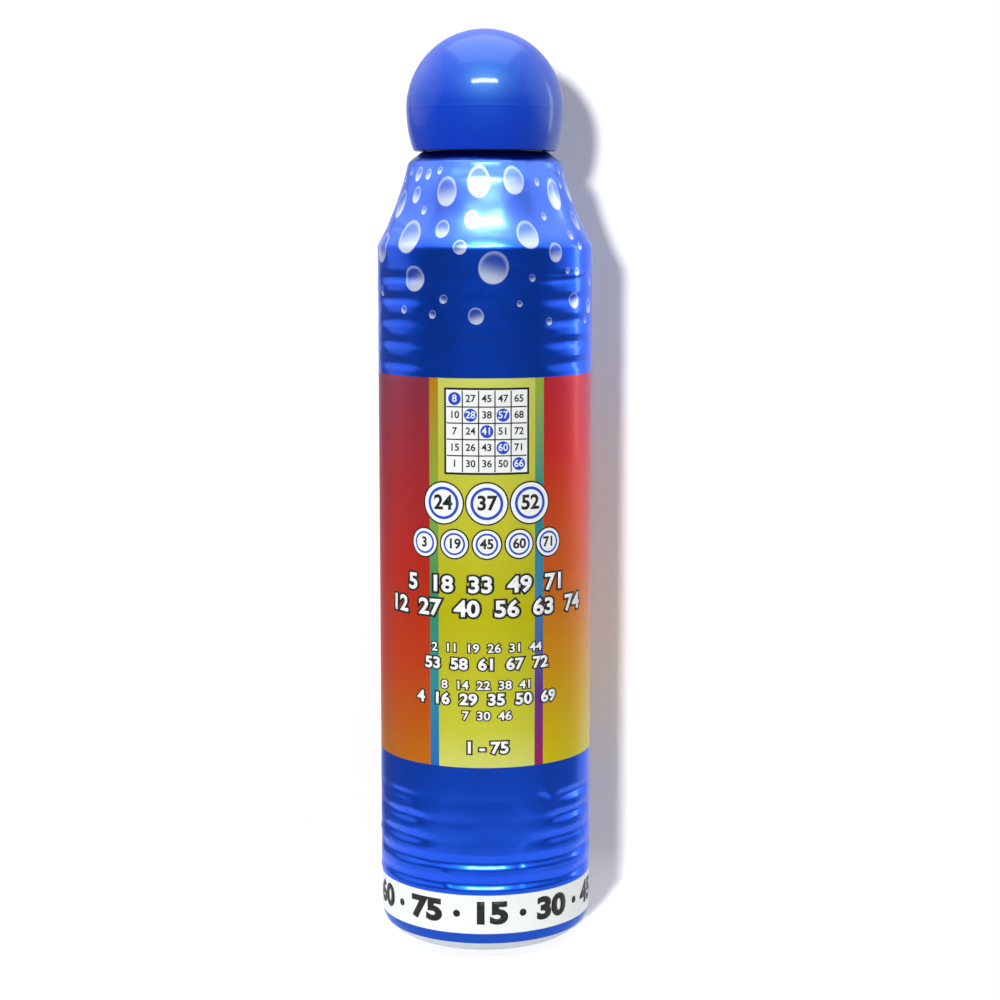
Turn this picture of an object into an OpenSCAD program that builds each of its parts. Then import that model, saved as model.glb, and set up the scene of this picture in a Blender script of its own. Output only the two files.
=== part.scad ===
// Bingo dauber: a sleeved ink bottle, a spring valve with a cloth-faced foam tip in its neck,
// and a ball-shaped screw cap. The origin is at the middle of the base, on the table, with +Z up.

/* [Bottle] */
// Outer diameter of the bottle body, under its sleeve
body_d = 35.6; // [31:0.1:44]
// Height of the body, from the table to the lower corner of the shoulder
body_h = 118; // [90:1:145]
// Thickness of the blown wall
bottle_wall = 1; // [0.7:0.1:1.4]
// Radius of the corner round the base
base_corner_r = 5; // [3:0.1:7]
// Height that the middle of the base is pushed up
pushup_h = 2.2; // [1:0.1:4]
// Width of the flat ring that the bottle stands on
standing_w = 1.5; // [1:0.1:3]
// Height of the shoulder, from the body's corner to the ledge round the neck
shoulder_h = 14; // [10:0.5:20]
// Radius of the corner between body and shoulder
shoulder_corner_r = 1.5; // [1:0.1:2.5]
// Angle that the hollow curve of the shoulder turns through, in degrees
shoulder_turn = 16; // [6:1:24]
// Width of the ledge between the shoulder and the neck ring
ledge_w = 2.4; // [1.8:0.1:4]
// Radius of the edge between shoulder and ledge
ledge_edge_r = 0.8; // [0.4:0.1:1.2]

/* [Grip ribs] */
// Number of grooves in each of the two ribbed zones
rib_count = 5; // [2:1:6]
// Distance from one groove to the next
rib_pitch = 3.5; // [3.1:0.1:4.4]
// Width of one groove
rib_w = 2.7; // [1.5:0.1:3.2]
// Depth of a groove in the bottle
rib_depth = 0.45; // [0.2:0.05:0.6]
// Height of the lowest groove of the lower zone above the table
lower_rib_z = 12.6; // [9:0.1:20]
// Distance of the highest groove of the upper zone below the body's corner
upper_rib_drop = 5; // [3:0.1:9]

/* [Neck] */
// Diameter of the bore that takes the applicator
neck_bore_d = 16.2; // [14.5:0.1:19.4]
// Thickness of the neck wall
neck_wall = 1.5; // [1.2:0.1:2]
// Distance that the neck ring stands out of the neck
neck_ring_out = 0.5; // [0.3:0.1:0.8]
// Height of the neck ring above the ledge
neck_ring_h = 1.2; // [0.9:0.1:1.6]
// Height of the neck above its ring
finish_h = 7; // [5.8:0.1:8.6]
// Height of the screw thread above the neck wall
thread_h = 0.7; // [0.5:0.1:1]

/* [Sleeve] */
// Thickness of the printed shrink film
sleeve_t = 0.15; // [0.1:0.01:0.3]
// Share of a groove's depth that the film sinks into it
sleeve_dip_share = 0.5; // [0.2:0.05:0.8]
// Angle below the horizontal at which the film ends on the base corner, in degrees
sleeve_end_angle = 38; // [20:1:60]

/* [Cap] */
// Thickness of the cap wall at its foot
cap_foot_wall = 1.4; // [1:0.1:2]
// Distance that the ball stands out past the foot
cap_bulge = 1.2; // [0.6:0.1:2]
// Thickness of the dome
dome_wall = 1.8; // [1.3:0.1:2.4]
// Gap between the cap's foot and the neck ring
cap_gap = 0.5; // [0.3:0.1:1]
// Space between the tip and the top of the dome inside
tip_clear = 2; // [1.4:0.1:3]
// Thickness of the soft liner
liner_t = 1; // [0.7:0.1:1.3]

/* [Applicator] */
// Thickness of the flange that rests on the lip
flange_t = 1.2; // [1:0.1:1.6]
// Width of the land on the flange that the liner seals on
seal_land = 1; // [0.8:0.1:1.3]
// Thickness of the collar round the tip
collar_wall = 0.5; // [0.4:0.05:0.7]
// Height of the collar above the flange
collar_h = 3.8; // [3:0.1:4.4]
// Thickness of the plug wall
plug_wall = 1.05; // [0.8:0.05:1.4]
// Travel of the tip when it is pressed
travel = 1.8; // [1.2:0.1:2.4]
// Thickness of the deck that carries the valve seat
deck_t = 1.4; // [1:0.1:1.8]
// Diameter of the hole through the valve seat
seat_hole_d = 6.4; // [5.2:0.1:7.6]

/* [Tip] */
// Thickness of the perforated tip holder
holder_t = 1.2; // [0.9:0.1:1.6]
// Number of ink holes in the holder
ink_holes = 6; // [4:1:8]
// Diameter of one ink hole
ink_hole_d = 1.8; // [1.2:0.1:2.2]
// Thickness of the ring that clamps the cloth
ring_wall = 0.45; // [0.35:0.05:0.6]
// Height of the clamping ring
ring_h = 2; // [1.5:0.1:2.8]
// Thickness of the cloth
cloth_t = 0.35; // [0.25:0.05:0.5]
// Height of the tip above its holder
tip_h = 5.75; // [4.6:0.05:7]
// Radius of the tip's rounded edge
tip_edge_r = 3.5; // [2.5:0.1:4.4]

/* [Valve] */
// Diameter of the valve stem
stem_d = 3; // [2.4:0.1:3.6]
// Diameter of the valve head
head_d = 8.8; // [8.5:0.1:10.6]
// Thickness of the valve head
head_t = 1; // [0.8:0.1:1.4]
// Thickness of the rubber washer
washer_t = 0.5; // [0.4:0.1:0.8]
// Diameter of the guide pin under the head
pin_d = 2.4; // [1.8:0.1:2.8]
// Installed length of the spring
spring_l = 5.2; // [4.4:0.1:6.4]
// Diameter of the spring wire
wire_d = 0.4; // [0.3:0.05:0.5]
// Number of turns of the spring
spring_turns = 4; // [3:0.5:4]
// Number of arms of the spring cage
cage_arms = 4; // [3:1:6]
// Thickness of the cage floor
cage_floor_t = 1.2; // [0.9:0.1:1.6]

/* [Hidden] */
$fn = 96;

// Clearances
sleeve_gap = 0.05;      // film to bottle
plug_clear = 0.05;      // plug to neck bore
fit_clear = 0.03;       // pieces pressed together
slide_clear = 0.1;      // pieces that slide past each other
cap_clear = 0.2;        // cap bore to thread crest
collar_clear = 0.4;     // cap throat to collar
stop_clear = 0.05;      // holder to its stop at the end of the travel
hub_clear = 0.2;        // holder hub to deck at the end of the travel
overrun = 1;            // how far a cut runs past the faces that it opens

// Small features
flange_over = 0.1;      // flange edge past the neck wall
stop_drop = 0.2;        // the holder's stop below the flange top
snap_h = 0.25;          // snap beads above their wall
snap_l = 1.2;           // length of a snap bead
liner_bead_h = 0.3;     // bead that keeps the liner in the cap
liner_bead_l = 0.6;
mouth_chamfer = 0.3;    // chamfers at mouths and rims
hub_h = 1.4;            // holder hub under the plate
hub_wall = 1.1;         // holder hub round the stem
cap_over_stem = 0.25;   // holder material over the stem's end
seat_rib_h = 0.4;       // raised rim of the valve seat
seat_rib_w = 0.6;
washer_lip_w = 0.3;     // rim of the valve head outside the washer
spigot_h = 0.6;         // boss under the head that centres the spring
spring_side_clear = 0.2;
guide_wall = 0.7;       // cage hub round the guide pin
guide_h = 0.8;          // cage hub above the cage floor
guide_clear = 0.1;
pin_in_guide = 1.4;     // length of pin held by the guide at rest
cage_ring_wall = 1;     // ring of the cage inside the plug
cage_ring_h = 1.8;
cage_rim_in = 0.2;      // cage rim inside the plug's outer face
arm_w = 1.6;            // cage arms

// Counts of steps along curves
arc_steps = 8;
dome_steps = 20;
wire_sides = 6;
rings_per_turn = 12;

// Radii of the bottle
body_r = body_d / 2;
bore_r = neck_bore_d / 2;
neck_r = bore_r + neck_wall;
ring_r = neck_r + neck_ring_out;
top_r = ring_r + ledge_w;
thread_r = neck_r + thread_h;
standing_r = body_r - base_corner_r;
pushup_r = standing_r - standing_w;
ledge_r = min(ledge_edge_r, ledge_w / 2);

// Heights of the bottle
ledge_z = body_h + shoulder_h;
ring_top_z = ledge_z + neck_ring_h;
lip_z = ring_top_z + finish_h;

// Slopes of the shoulder, as angles of its outward normal above the horizontal
shoulder_chord = norm([body_r - top_r, shoulder_h]);
chord_angle = atan2(body_r - top_r, shoulder_h);
low_angle = chord_angle + shoulder_turn / 2;
high_angle = chord_angle - shoulder_turn / 2;
shoulder_arc_r = shoulder_chord / (2 * sin(shoulder_turn / 2));
corner_back = shoulder_corner_r * tan(low_angle / 2);
ledge_back = ledge_r * tan((90 - high_angle) / 2);

// Applicator radii, from the neck bore inwards
plug_r = bore_r - plug_clear;
chamber_r = plug_r - plug_wall;
flange_r = neck_r + flange_over;
collar_r = flange_r - seal_land;
collar_in_r = collar_r - collar_wall;
cloth_ring_r = collar_in_r - slide_clear;
cloth_ring_in_r = cloth_ring_r - ring_wall;
cloth_r = cloth_ring_in_r - fit_clear;
sponge_r = cloth_r - cloth_t - fit_clear;
stem_r = stem_d / 2;
pin_r = pin_d / 2;
head_r = head_d / 2;
seat_hole_r = seat_hole_d / 2;
hub_r = stem_r + hub_wall;

// Applicator heights, from the lip upwards and then down through the valve
flange_top_z = lip_z + flange_t;
collar_top_z = flange_top_z + collar_h;
stop_z = flange_top_z - stop_drop;
holder_z = stop_z + stop_clear + travel;
sponge_z = holder_z + holder_t;
tip_top_z = sponge_z + tip_h;
hub_z = holder_z - hub_h;
stem_top_z = sponge_z - cap_over_stem;
deck_top_z = hub_z - travel - hub_clear;
deck_z = deck_top_z - deck_t;
seat_z = deck_z - seat_rib_h;
head_top_z = seat_z - washer_t;
head_z = head_top_z - head_t;
cage_floor_z = head_z - spring_l;
cage_z = cage_floor_z - cage_floor_t;
plug_z = cage_floor_z + fit_clear;
guide_top_z = cage_floor_z + guide_h;
pin_z = guide_top_z - pin_in_guide;
neck_snap_z = (ledge_z + lip_z) / 2;
cage_snap_z = plug_z + cage_ring_h / 2;

// Spring and cage radii
guide_in_r = pin_r + guide_clear;
guide_r = guide_in_r + guide_wall;
wire_r = wire_d / 2;
coil_r = guide_r + spring_side_clear + wire_r;
spigot_r = coil_r - wire_r - spring_side_clear;
cage_ring_r = chamber_r - fit_clear;
cage_rim_r = plug_r - cage_rim_in;

// Cap radii, from the thread outwards, and heights, from the tip's top
cap_bore_r = thread_r + cap_clear;
cap_foot_r = cap_bore_r + cap_foot_wall;
cap_r = cap_foot_r + cap_bulge;
dome_in_r = cap_r - dome_wall;
throat_r = collar_r + collar_clear;
liner_in_r = collar_r + slide_clear;
liner_r = cap_bore_r - slide_clear;
cap_foot_z = ring_top_z + cap_gap;
dome_top_z = tip_top_z + tip_clear + dome_wall;
equator_z = dome_top_z - cap_r;
cap_ledge_z = flange_top_z + liner_t;
skirt_h = equator_z - cap_foot_z;
skirt_arc_r = (pow(skirt_h, 2) + pow(cap_bulge, 2)) / (2 * cap_bulge);
skirt_angle = asin(skirt_h / skirt_arc_r);
throat_angle = acos(throat_r / dome_in_r);

// A station is a point of an outline with the direction that a skin over it is offset in:
// [radius, height, radial part, upward part]. A mitred inner corner has both parts 1.
function arc(cr, cz, r, a0, a1, n) = [for (i = [0 : n])
    let (a = a0 + (a1 - a0) * i / n) [cr + r * cos(a), cz + r * sin(a), cos(a), sin(a)]];
function offset_by(stations, d) = [for (s = stations) [s[0] + d * s[2], s[1] + d * s[3]]];
function points(stations) = offset_by(stations, 0);
function reversed(list) = [for (i = [len(list) - 1 : -1 : 0]) list[i]];

// Grooves, each a dip of one cosine wave, as shares of its half width
groove_shares = [-1, -2 / 3, -1 / 3, 0, 1 / 3, 2 / 3, 1];
function groove(z, depth) = [for (s = groove_shares)
    [body_r - depth * (1 + cos(180 * s)) / 2, z + s * rib_w / 2, 1, 0]];
function rib_zone(z, depth) = [for (i = [0 : rib_count - 1]) each groove(z + i * rib_pitch, depth)];
upper_rib_z = body_h - upper_rib_drop - (rib_count - 1) * rib_pitch;

// The pushed-up middle and the ring that the bottle stands on
base_stations = concat(
    [for (i = [0 : arc_steps])
        let (s = i / arc_steps) [pushup_r * s, pushup_h * (1 - s * s), 0, -1]],
    [[standing_r, 0, 0, -1]]);

// Body and shoulder above the base corner, with grooves of the given depth
function side_stations(depth) = concat(
    rib_zone(lower_rib_z, depth),
    rib_zone(upper_rib_z, depth),
    arc(body_r - shoulder_corner_r, body_h - corner_back, shoulder_corner_r, 0, low_angle, arc_steps),
    shoulder_stations);
shoulder_stations = [for (i = [1 : arc_steps - 1])
    let (a = low_angle - shoulder_turn * i / arc_steps)
    [body_r + shoulder_arc_r * (cos(low_angle) - cos(a)),
     body_h + shoulder_arc_r * (sin(low_angle) - sin(a)), cos(a), sin(a)]];

// Edge, ledge and neck ring
neck_stations = concat(
    arc(top_r - ledge_back, ledge_z - ledge_r, ledge_r, high_angle, 90, arc_steps),
    [[ring_r, ledge_z, 1, 1], [ring_r, ring_top_z, 1, 0]]);

// A snap bead on a wall at radius r, lowest point first
function bead(r, z, h) = [[r, z - snap_l / 2], [r + h, z - snap_l / 6], [r + h, z + snap_l / 6],
                          [r, z + snap_l / 2]];

// Inner wall of the bottle, from the base up to the lip
inner_corner = [top_r - bottle_wall * (cos(high_angle) - (1 - sin(high_angle)) * tan(high_angle)),
                ledge_z - bottle_wall];
bottle_inside = concat(
    offset_by(concat(base_stations,
                     arc(standing_r, base_corner_r, base_corner_r, -90, 0, arc_steps),
                     side_stations(rib_depth)), -bottle_wall),
    [inner_corner, [bore_r, ledge_z - bottle_wall]],
    bead(bore_r, neck_snap_z, snap_h),
    [[bore_r, lip_z - mouth_chamfer], [bore_r + mouth_chamfer, lip_z]]);

// Outer wall of the bottle, from the base up to the lip
bottle_outside = concat(
    points(concat(base_stations, arc(standing_r, base_corner_r, base_corner_r, -90, 0, arc_steps),
                  side_stations(rib_depth), neck_stations)),
    [[neck_r, ring_top_z], [neck_r, lip_z]]);

module bottle() {
    color("whitesmoke")
        rotate_extrude() polygon(concat(bottle_outside, reversed(bottle_inside)));
}

// Printed film from the base corner to the top of the neck ring
sleeve_stations = concat(
    arc(standing_r, base_corner_r, base_corner_r, -sleeve_end_angle, 0, arc_steps),
    side_stations(rib_depth * sleeve_dip_share), neck_stations);

module shrink_sleeve() {
    color("royalblue")
        rotate_extrude() polygon(concat(
            offset_by(sleeve_stations, sleeve_gap + sleeve_t),
            reversed(offset_by(sleeve_stations, sleeve_gap))));
}

// Plug, flange and collar in one moulding, with the valve seat across it
module applicator_housing() {
    outside = concat(
        [[plug_r - mouth_chamfer, plug_z], [plug_r, plug_z + mouth_chamfer]],
        bead(plug_r, neck_snap_z, snap_h),
        [[plug_r, lip_z], [flange_r, lip_z], [flange_r, flange_top_z], [collar_r, flange_top_z],
         [collar_r, collar_top_z - mouth_chamfer / 2], [collar_r - mouth_chamfer / 2, collar_top_z]]);
    inside = concat(
        [[chamber_r, plug_z]],
        bead(chamber_r, cage_snap_z, snap_h),
        [[chamber_r, deck_z], [seat_hole_r + seat_rib_w, deck_z], [seat_hole_r + seat_rib_w, seat_z],
         [seat_hole_r, seat_z], [seat_hole_r, deck_top_z], [chamber_r, deck_top_z],
         [chamber_r, stop_z], [collar_in_r, stop_z], [collar_in_r, collar_top_z]]);
    color("white")
        rotate_extrude() polygon(concat(outside, reversed(inside)));
}

// Floor on arms that carries the spring and guides the pin, snapped into the foot of the plug
module spring_cage() {
    color("white") union() {
        rotate_extrude() polygon(concat(
            [[cage_ring_r - cage_ring_wall, cage_z], [cage_rim_r, cage_z],
             [cage_rim_r, cage_floor_z], [cage_ring_r, cage_floor_z]],
            bead(cage_ring_r, cage_snap_z, snap_h),
            [[cage_ring_r, cage_floor_z + cage_ring_h],
             [cage_ring_r - cage_ring_wall, cage_floor_z + cage_ring_h]]));
        difference() {
            union() {
                for (i = [0 : cage_arms - 1])
                    rotate(360 * i / cage_arms)
                        translate([0, -arm_w / 2, cage_z])
                            cube([cage_ring_r - cage_ring_wall / 2, arm_w, cage_floor_t]);
                translate([0, 0, cage_z])
                    cylinder(r = coil_r + wire_d, h = cage_floor_t);
                translate([0, 0, cage_z])
                    cylinder(r = guide_r, h = cage_floor_t + guide_h);
            }
            translate([0, 0, cage_z - overrun])
                cylinder(r = guide_in_r, h = cage_floor_t + guide_h + 2 * overrun);
        }
    }
}

// Open-ended compression spring, a wire swept along its helix
coil_steps = round(spring_turns * rings_per_turn);
coil_rise = spring_l - wire_d;
coil_slope = atan2(coil_rise, 2 * PI * coil_r * spring_turns);
function coil_turn(i) = 360 * i / rings_per_turn;
function coil_point(i) = [coil_r * cos(coil_turn(i)), coil_r * sin(coil_turn(i)),
                          cage_floor_z + wire_r + coil_rise * i / coil_steps];

// Least distance between the wires of two turns, measured on the helix's points
coil_gap = min([for (i = [0 : coil_steps]) for (k = [i + rings_per_turn / 2 : coil_steps])
    norm(coil_point(k) - coil_point(i))]) - wire_d;

module valve_spring() {
    echo(coil_gap = coil_gap);
    steps = coil_steps;
    wire_points = [for (i = [0 : steps]) let (
        turn = coil_turn(i),
        out = [cos(turn), sin(turn), 0],
        up = [sin(turn) * sin(coil_slope), -cos(turn) * sin(coil_slope), cos(coil_slope)])
        for (j = [0 : wire_sides - 1]) let (a = 360 * j / wire_sides)
            coil_point(i) + wire_r * (cos(a) * out + sin(a) * up)];
    start = [for (j = [0 : wire_sides - 1]) j];
    end = [for (j = [wire_sides - 1 : -1 : 0]) steps * wire_sides + j];
    walls = [for (i = [0 : steps - 1]) for (j = [0 : wire_sides - 1]) let (
        a = i * wire_sides + j,
        b = i * wire_sides + (j + 1) % wire_sides)
        each [[a, a + wire_sides, b + wire_sides], [a, b + wire_sides, b]]];
    color("silver")
        polyhedron(points = wire_points, faces = concat([start], walls, [end]));
}

// Stem, head and guide pin in one moulding, turned about the axis
module valve_poppet() {
    color("ivory")
        rotate_extrude() polygon([
            [0, pin_z], [pin_r - mouth_chamfer, pin_z], [pin_r, pin_z + mouth_chamfer],
            [pin_r, head_z - spigot_h], [spigot_r, head_z - spigot_h], [spigot_r, head_z],
            [head_r, head_z], [head_r, head_top_z + washer_t / 2],
            [head_r - washer_lip_w, head_top_z + washer_t / 2],
            [head_r - washer_lip_w, head_top_z], [stem_r, head_top_z],
            [stem_r, stem_top_z - mouth_chamfer], [stem_r - mouth_chamfer, stem_top_z],
            [0, stem_top_z]]);
}

// Rubber washer on the head, closed against the seat at rest
module valve_washer() {
    color("dimgray") translate([0, 0, head_top_z]) difference() {
        cylinder(r = head_r - washer_lip_w - fit_clear, h = washer_t);
        translate([0, 0, -overrun])
            cylinder(r = stem_r + fit_clear, h = washer_t + 2 * overrun);
    }
}

// Perforated plate under the foam, with a hub that takes the stem
module tip_holder() {
    holes_r = (hub_r + sponge_r) / 2;
    color("white") difference() {
        union() {
            translate([0, 0, holder_z]) cylinder(r = sponge_r, h = holder_t);
            translate([0, 0, hub_z]) cylinder(r = hub_r, h = hub_h + overrun / 2);
        }
        translate([0, 0, hub_z - overrun])
            cylinder(r = stem_r + fit_clear, h = stem_top_z + fit_clear - hub_z + overrun);
        for (i = [0 : ink_holes - 1])
            rotate(360 * i / ink_holes)
                translate([holes_r, 0, holder_z - overrun])
                    cylinder(d = ink_hole_d, h = holder_t + 2 * overrun);
    }
}

// Outline of the tip at a given skin depth below the cloth's outer face
function tip_outline(depth, foot_z) = concat(
    [[cloth_r - depth, foot_z]],
    points(arc(cloth_r - tip_edge_r, tip_top_z - tip_edge_r, tip_edge_r - depth, 0, 90, arc_steps)),
    [[0, tip_top_z - depth]]);

// Foam pad that soaks up the ink
module tip_sponge() {
    color("lightyellow")
        rotate_extrude() polygon(concat([[0, sponge_z]],
            tip_outline(cloth_t + fit_clear, sponge_z)));
}

// Cloth drawn over the foam and down round the holder
module tip_cloth() {
    color("aliceblue")
        rotate_extrude() polygon(concat(tip_outline(0, holder_z),
            reversed(tip_outline(cloth_t, holder_z))));
}

// Ring that clamps the cloth's edge to the holder and slides in the collar
module cloth_ring() {
    color("white")
        rotate_extrude() polygon([
            [cloth_ring_in_r, holder_z], [cloth_ring_r, holder_z],
            [cloth_ring_r, holder_z + ring_h - mouth_chamfer / 2],
            [cloth_ring_r - mouth_chamfer / 2, holder_z + ring_h],
            [cloth_ring_in_r, holder_z + ring_h]]);
}

// Soft washer that the cap squeezes onto the flange
module cap_liner() {
    color("lightgray") translate([0, 0, flange_top_z]) difference() {
        cylinder(r = liner_r, h = liner_t);
        translate([0, 0, -overrun])
            cylinder(r = liner_in_r, h = liner_t + 2 * overrun);
    }
}

// Ball-shaped cap: a tapered skirt up to the equator, a dome over it, and a bore for the thread
module cap_shell() {
    outside = concat(
        points(arc(cap_r - skirt_arc_r, equator_z, skirt_arc_r, -skirt_angle, 0, arc_steps)),
        points(arc(0, equator_z, cap_r, 90 / dome_steps, 90, dome_steps)));
    inside = concat(
        [[cap_bore_r + mouth_chamfer, cap_foot_z], [cap_bore_r, cap_foot_z + mouth_chamfer],
         [cap_bore_r, flange_top_z - liner_bead_l],
         [cap_bore_r - liner_bead_h, flange_top_z - liner_bead_l / 2],
         [cap_bore_r, flange_top_z],
         [cap_bore_r, cap_ledge_z], [throat_r, cap_ledge_z]],
        points(arc(0, equator_z, dome_in_r, throat_angle, 90, dome_steps)));
    color("royalblue")
        rotate_extrude() polygon(concat(outside, reversed(inside)));
}

bottle();
shrink_sleeve();
applicator_housing();
spring_cage();
valve_spring();
valve_poppet();
valve_washer();
tip_holder();
tip_sponge();
tip_cloth();
cloth_ring();
cap_liner();
cap_shell();
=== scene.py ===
"""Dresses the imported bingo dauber: bottle, shrink film and its print, valve, tip, cap and studio.

Sizes are in millimetres in the dataclasses and become metres where a mesh or an object is made.
Angles round the axis start at the front, which faces -Y, and grow towards +X.
"""

import logging
import math
import random
from collections.abc import Sequence
from dataclasses import dataclass, field
from enum import Enum

import bpy
import numpy as np
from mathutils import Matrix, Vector, noise


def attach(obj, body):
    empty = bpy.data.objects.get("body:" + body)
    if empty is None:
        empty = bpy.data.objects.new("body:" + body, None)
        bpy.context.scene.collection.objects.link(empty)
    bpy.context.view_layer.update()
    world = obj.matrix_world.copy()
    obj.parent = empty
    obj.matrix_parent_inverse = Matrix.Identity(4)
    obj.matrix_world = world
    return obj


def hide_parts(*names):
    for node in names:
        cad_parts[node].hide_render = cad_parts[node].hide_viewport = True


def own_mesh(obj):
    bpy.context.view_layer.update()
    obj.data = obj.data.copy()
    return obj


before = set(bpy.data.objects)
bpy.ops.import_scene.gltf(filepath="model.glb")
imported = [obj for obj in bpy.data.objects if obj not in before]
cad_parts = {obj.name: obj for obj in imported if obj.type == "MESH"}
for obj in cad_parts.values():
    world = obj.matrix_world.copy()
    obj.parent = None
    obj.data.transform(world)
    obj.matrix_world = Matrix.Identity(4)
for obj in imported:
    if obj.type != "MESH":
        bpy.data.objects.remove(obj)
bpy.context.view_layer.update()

MM = 0.001
log = logging.getLogger("dauber")

Point = tuple[float, float]
Span = tuple[float, float]
Grain = tuple[float, float, float]
Station = tuple[float, float, float, float]
Socket = bpy.types.NodeSocket
Piece = bpy.types.Object
Material = bpy.types.Material


class Body(Enum):
    """Bodies of the model that a piece can ride on."""

    BOTTLE = "bottle"
    TIP = "tip"
    LINER = "cap_liner"
    CAP = "cap"


class Slot(Enum):
    """Material slots of the record."""

    BOTTLE = "bottle"
    SLEEVE = "sleeve"
    HOUSING = "housing"
    SPRING = "spring"
    POPPET = "poppet"
    WASHER = "washer"
    SPONGE = "sponge"
    CLOTH = "cloth"
    LINER = "liner"
    CAP = "cap"


# Outlines


def spaced(start: float, end: float, pitch: float) -> list[float]:
    """Even steps from start up to, but without, end.

    Args:
        start: First value.
        end: Value that the steps stop short of.
        pitch: Step that is wished for.

    Returns:
        The values, with the step fitted to the stretch.
    """
    count = max(1, round((end - start) / pitch))
    return [start + (end - start) * i / count for i in range(count)]


def arc(centre: Point, radius: float, start: float, end: float, steps: int) -> list[Station]:
    """Stations along a round stretch of an outline.

    Args:
        centre: Radius and height of the arc's centre.
        radius: Radius of the arc.
        start: Angle of its first normal above the horizontal, in radians.
        end: Angle of its last normal.
        steps: Number of steps.

    Returns:
        Stations, each a point and its outward normal.
    """
    angles = [start + (end - start) * i / steps for i in range(steps + 1)]
    return [(centre[0] + radius * math.cos(a), centre[1] + radius * math.sin(a),
             math.cos(a), math.sin(a)) for a in angles]


def moved_out(stations: Sequence[Station], distance: float) -> list[Point]:
    """Points at a distance outside the stations, along their normals."""
    return [(r + distance * nr, z + distance * nz) for r, z, nr, nz in stations]


def softened(value: np.ndarray, low: float, high: float) -> np.ndarray:
    """Smooth step from 0 at low to 1 at high."""
    share = np.clip((value - low) / (high - low), 0, 1)
    return share * share * (3 - 2 * share)


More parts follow.
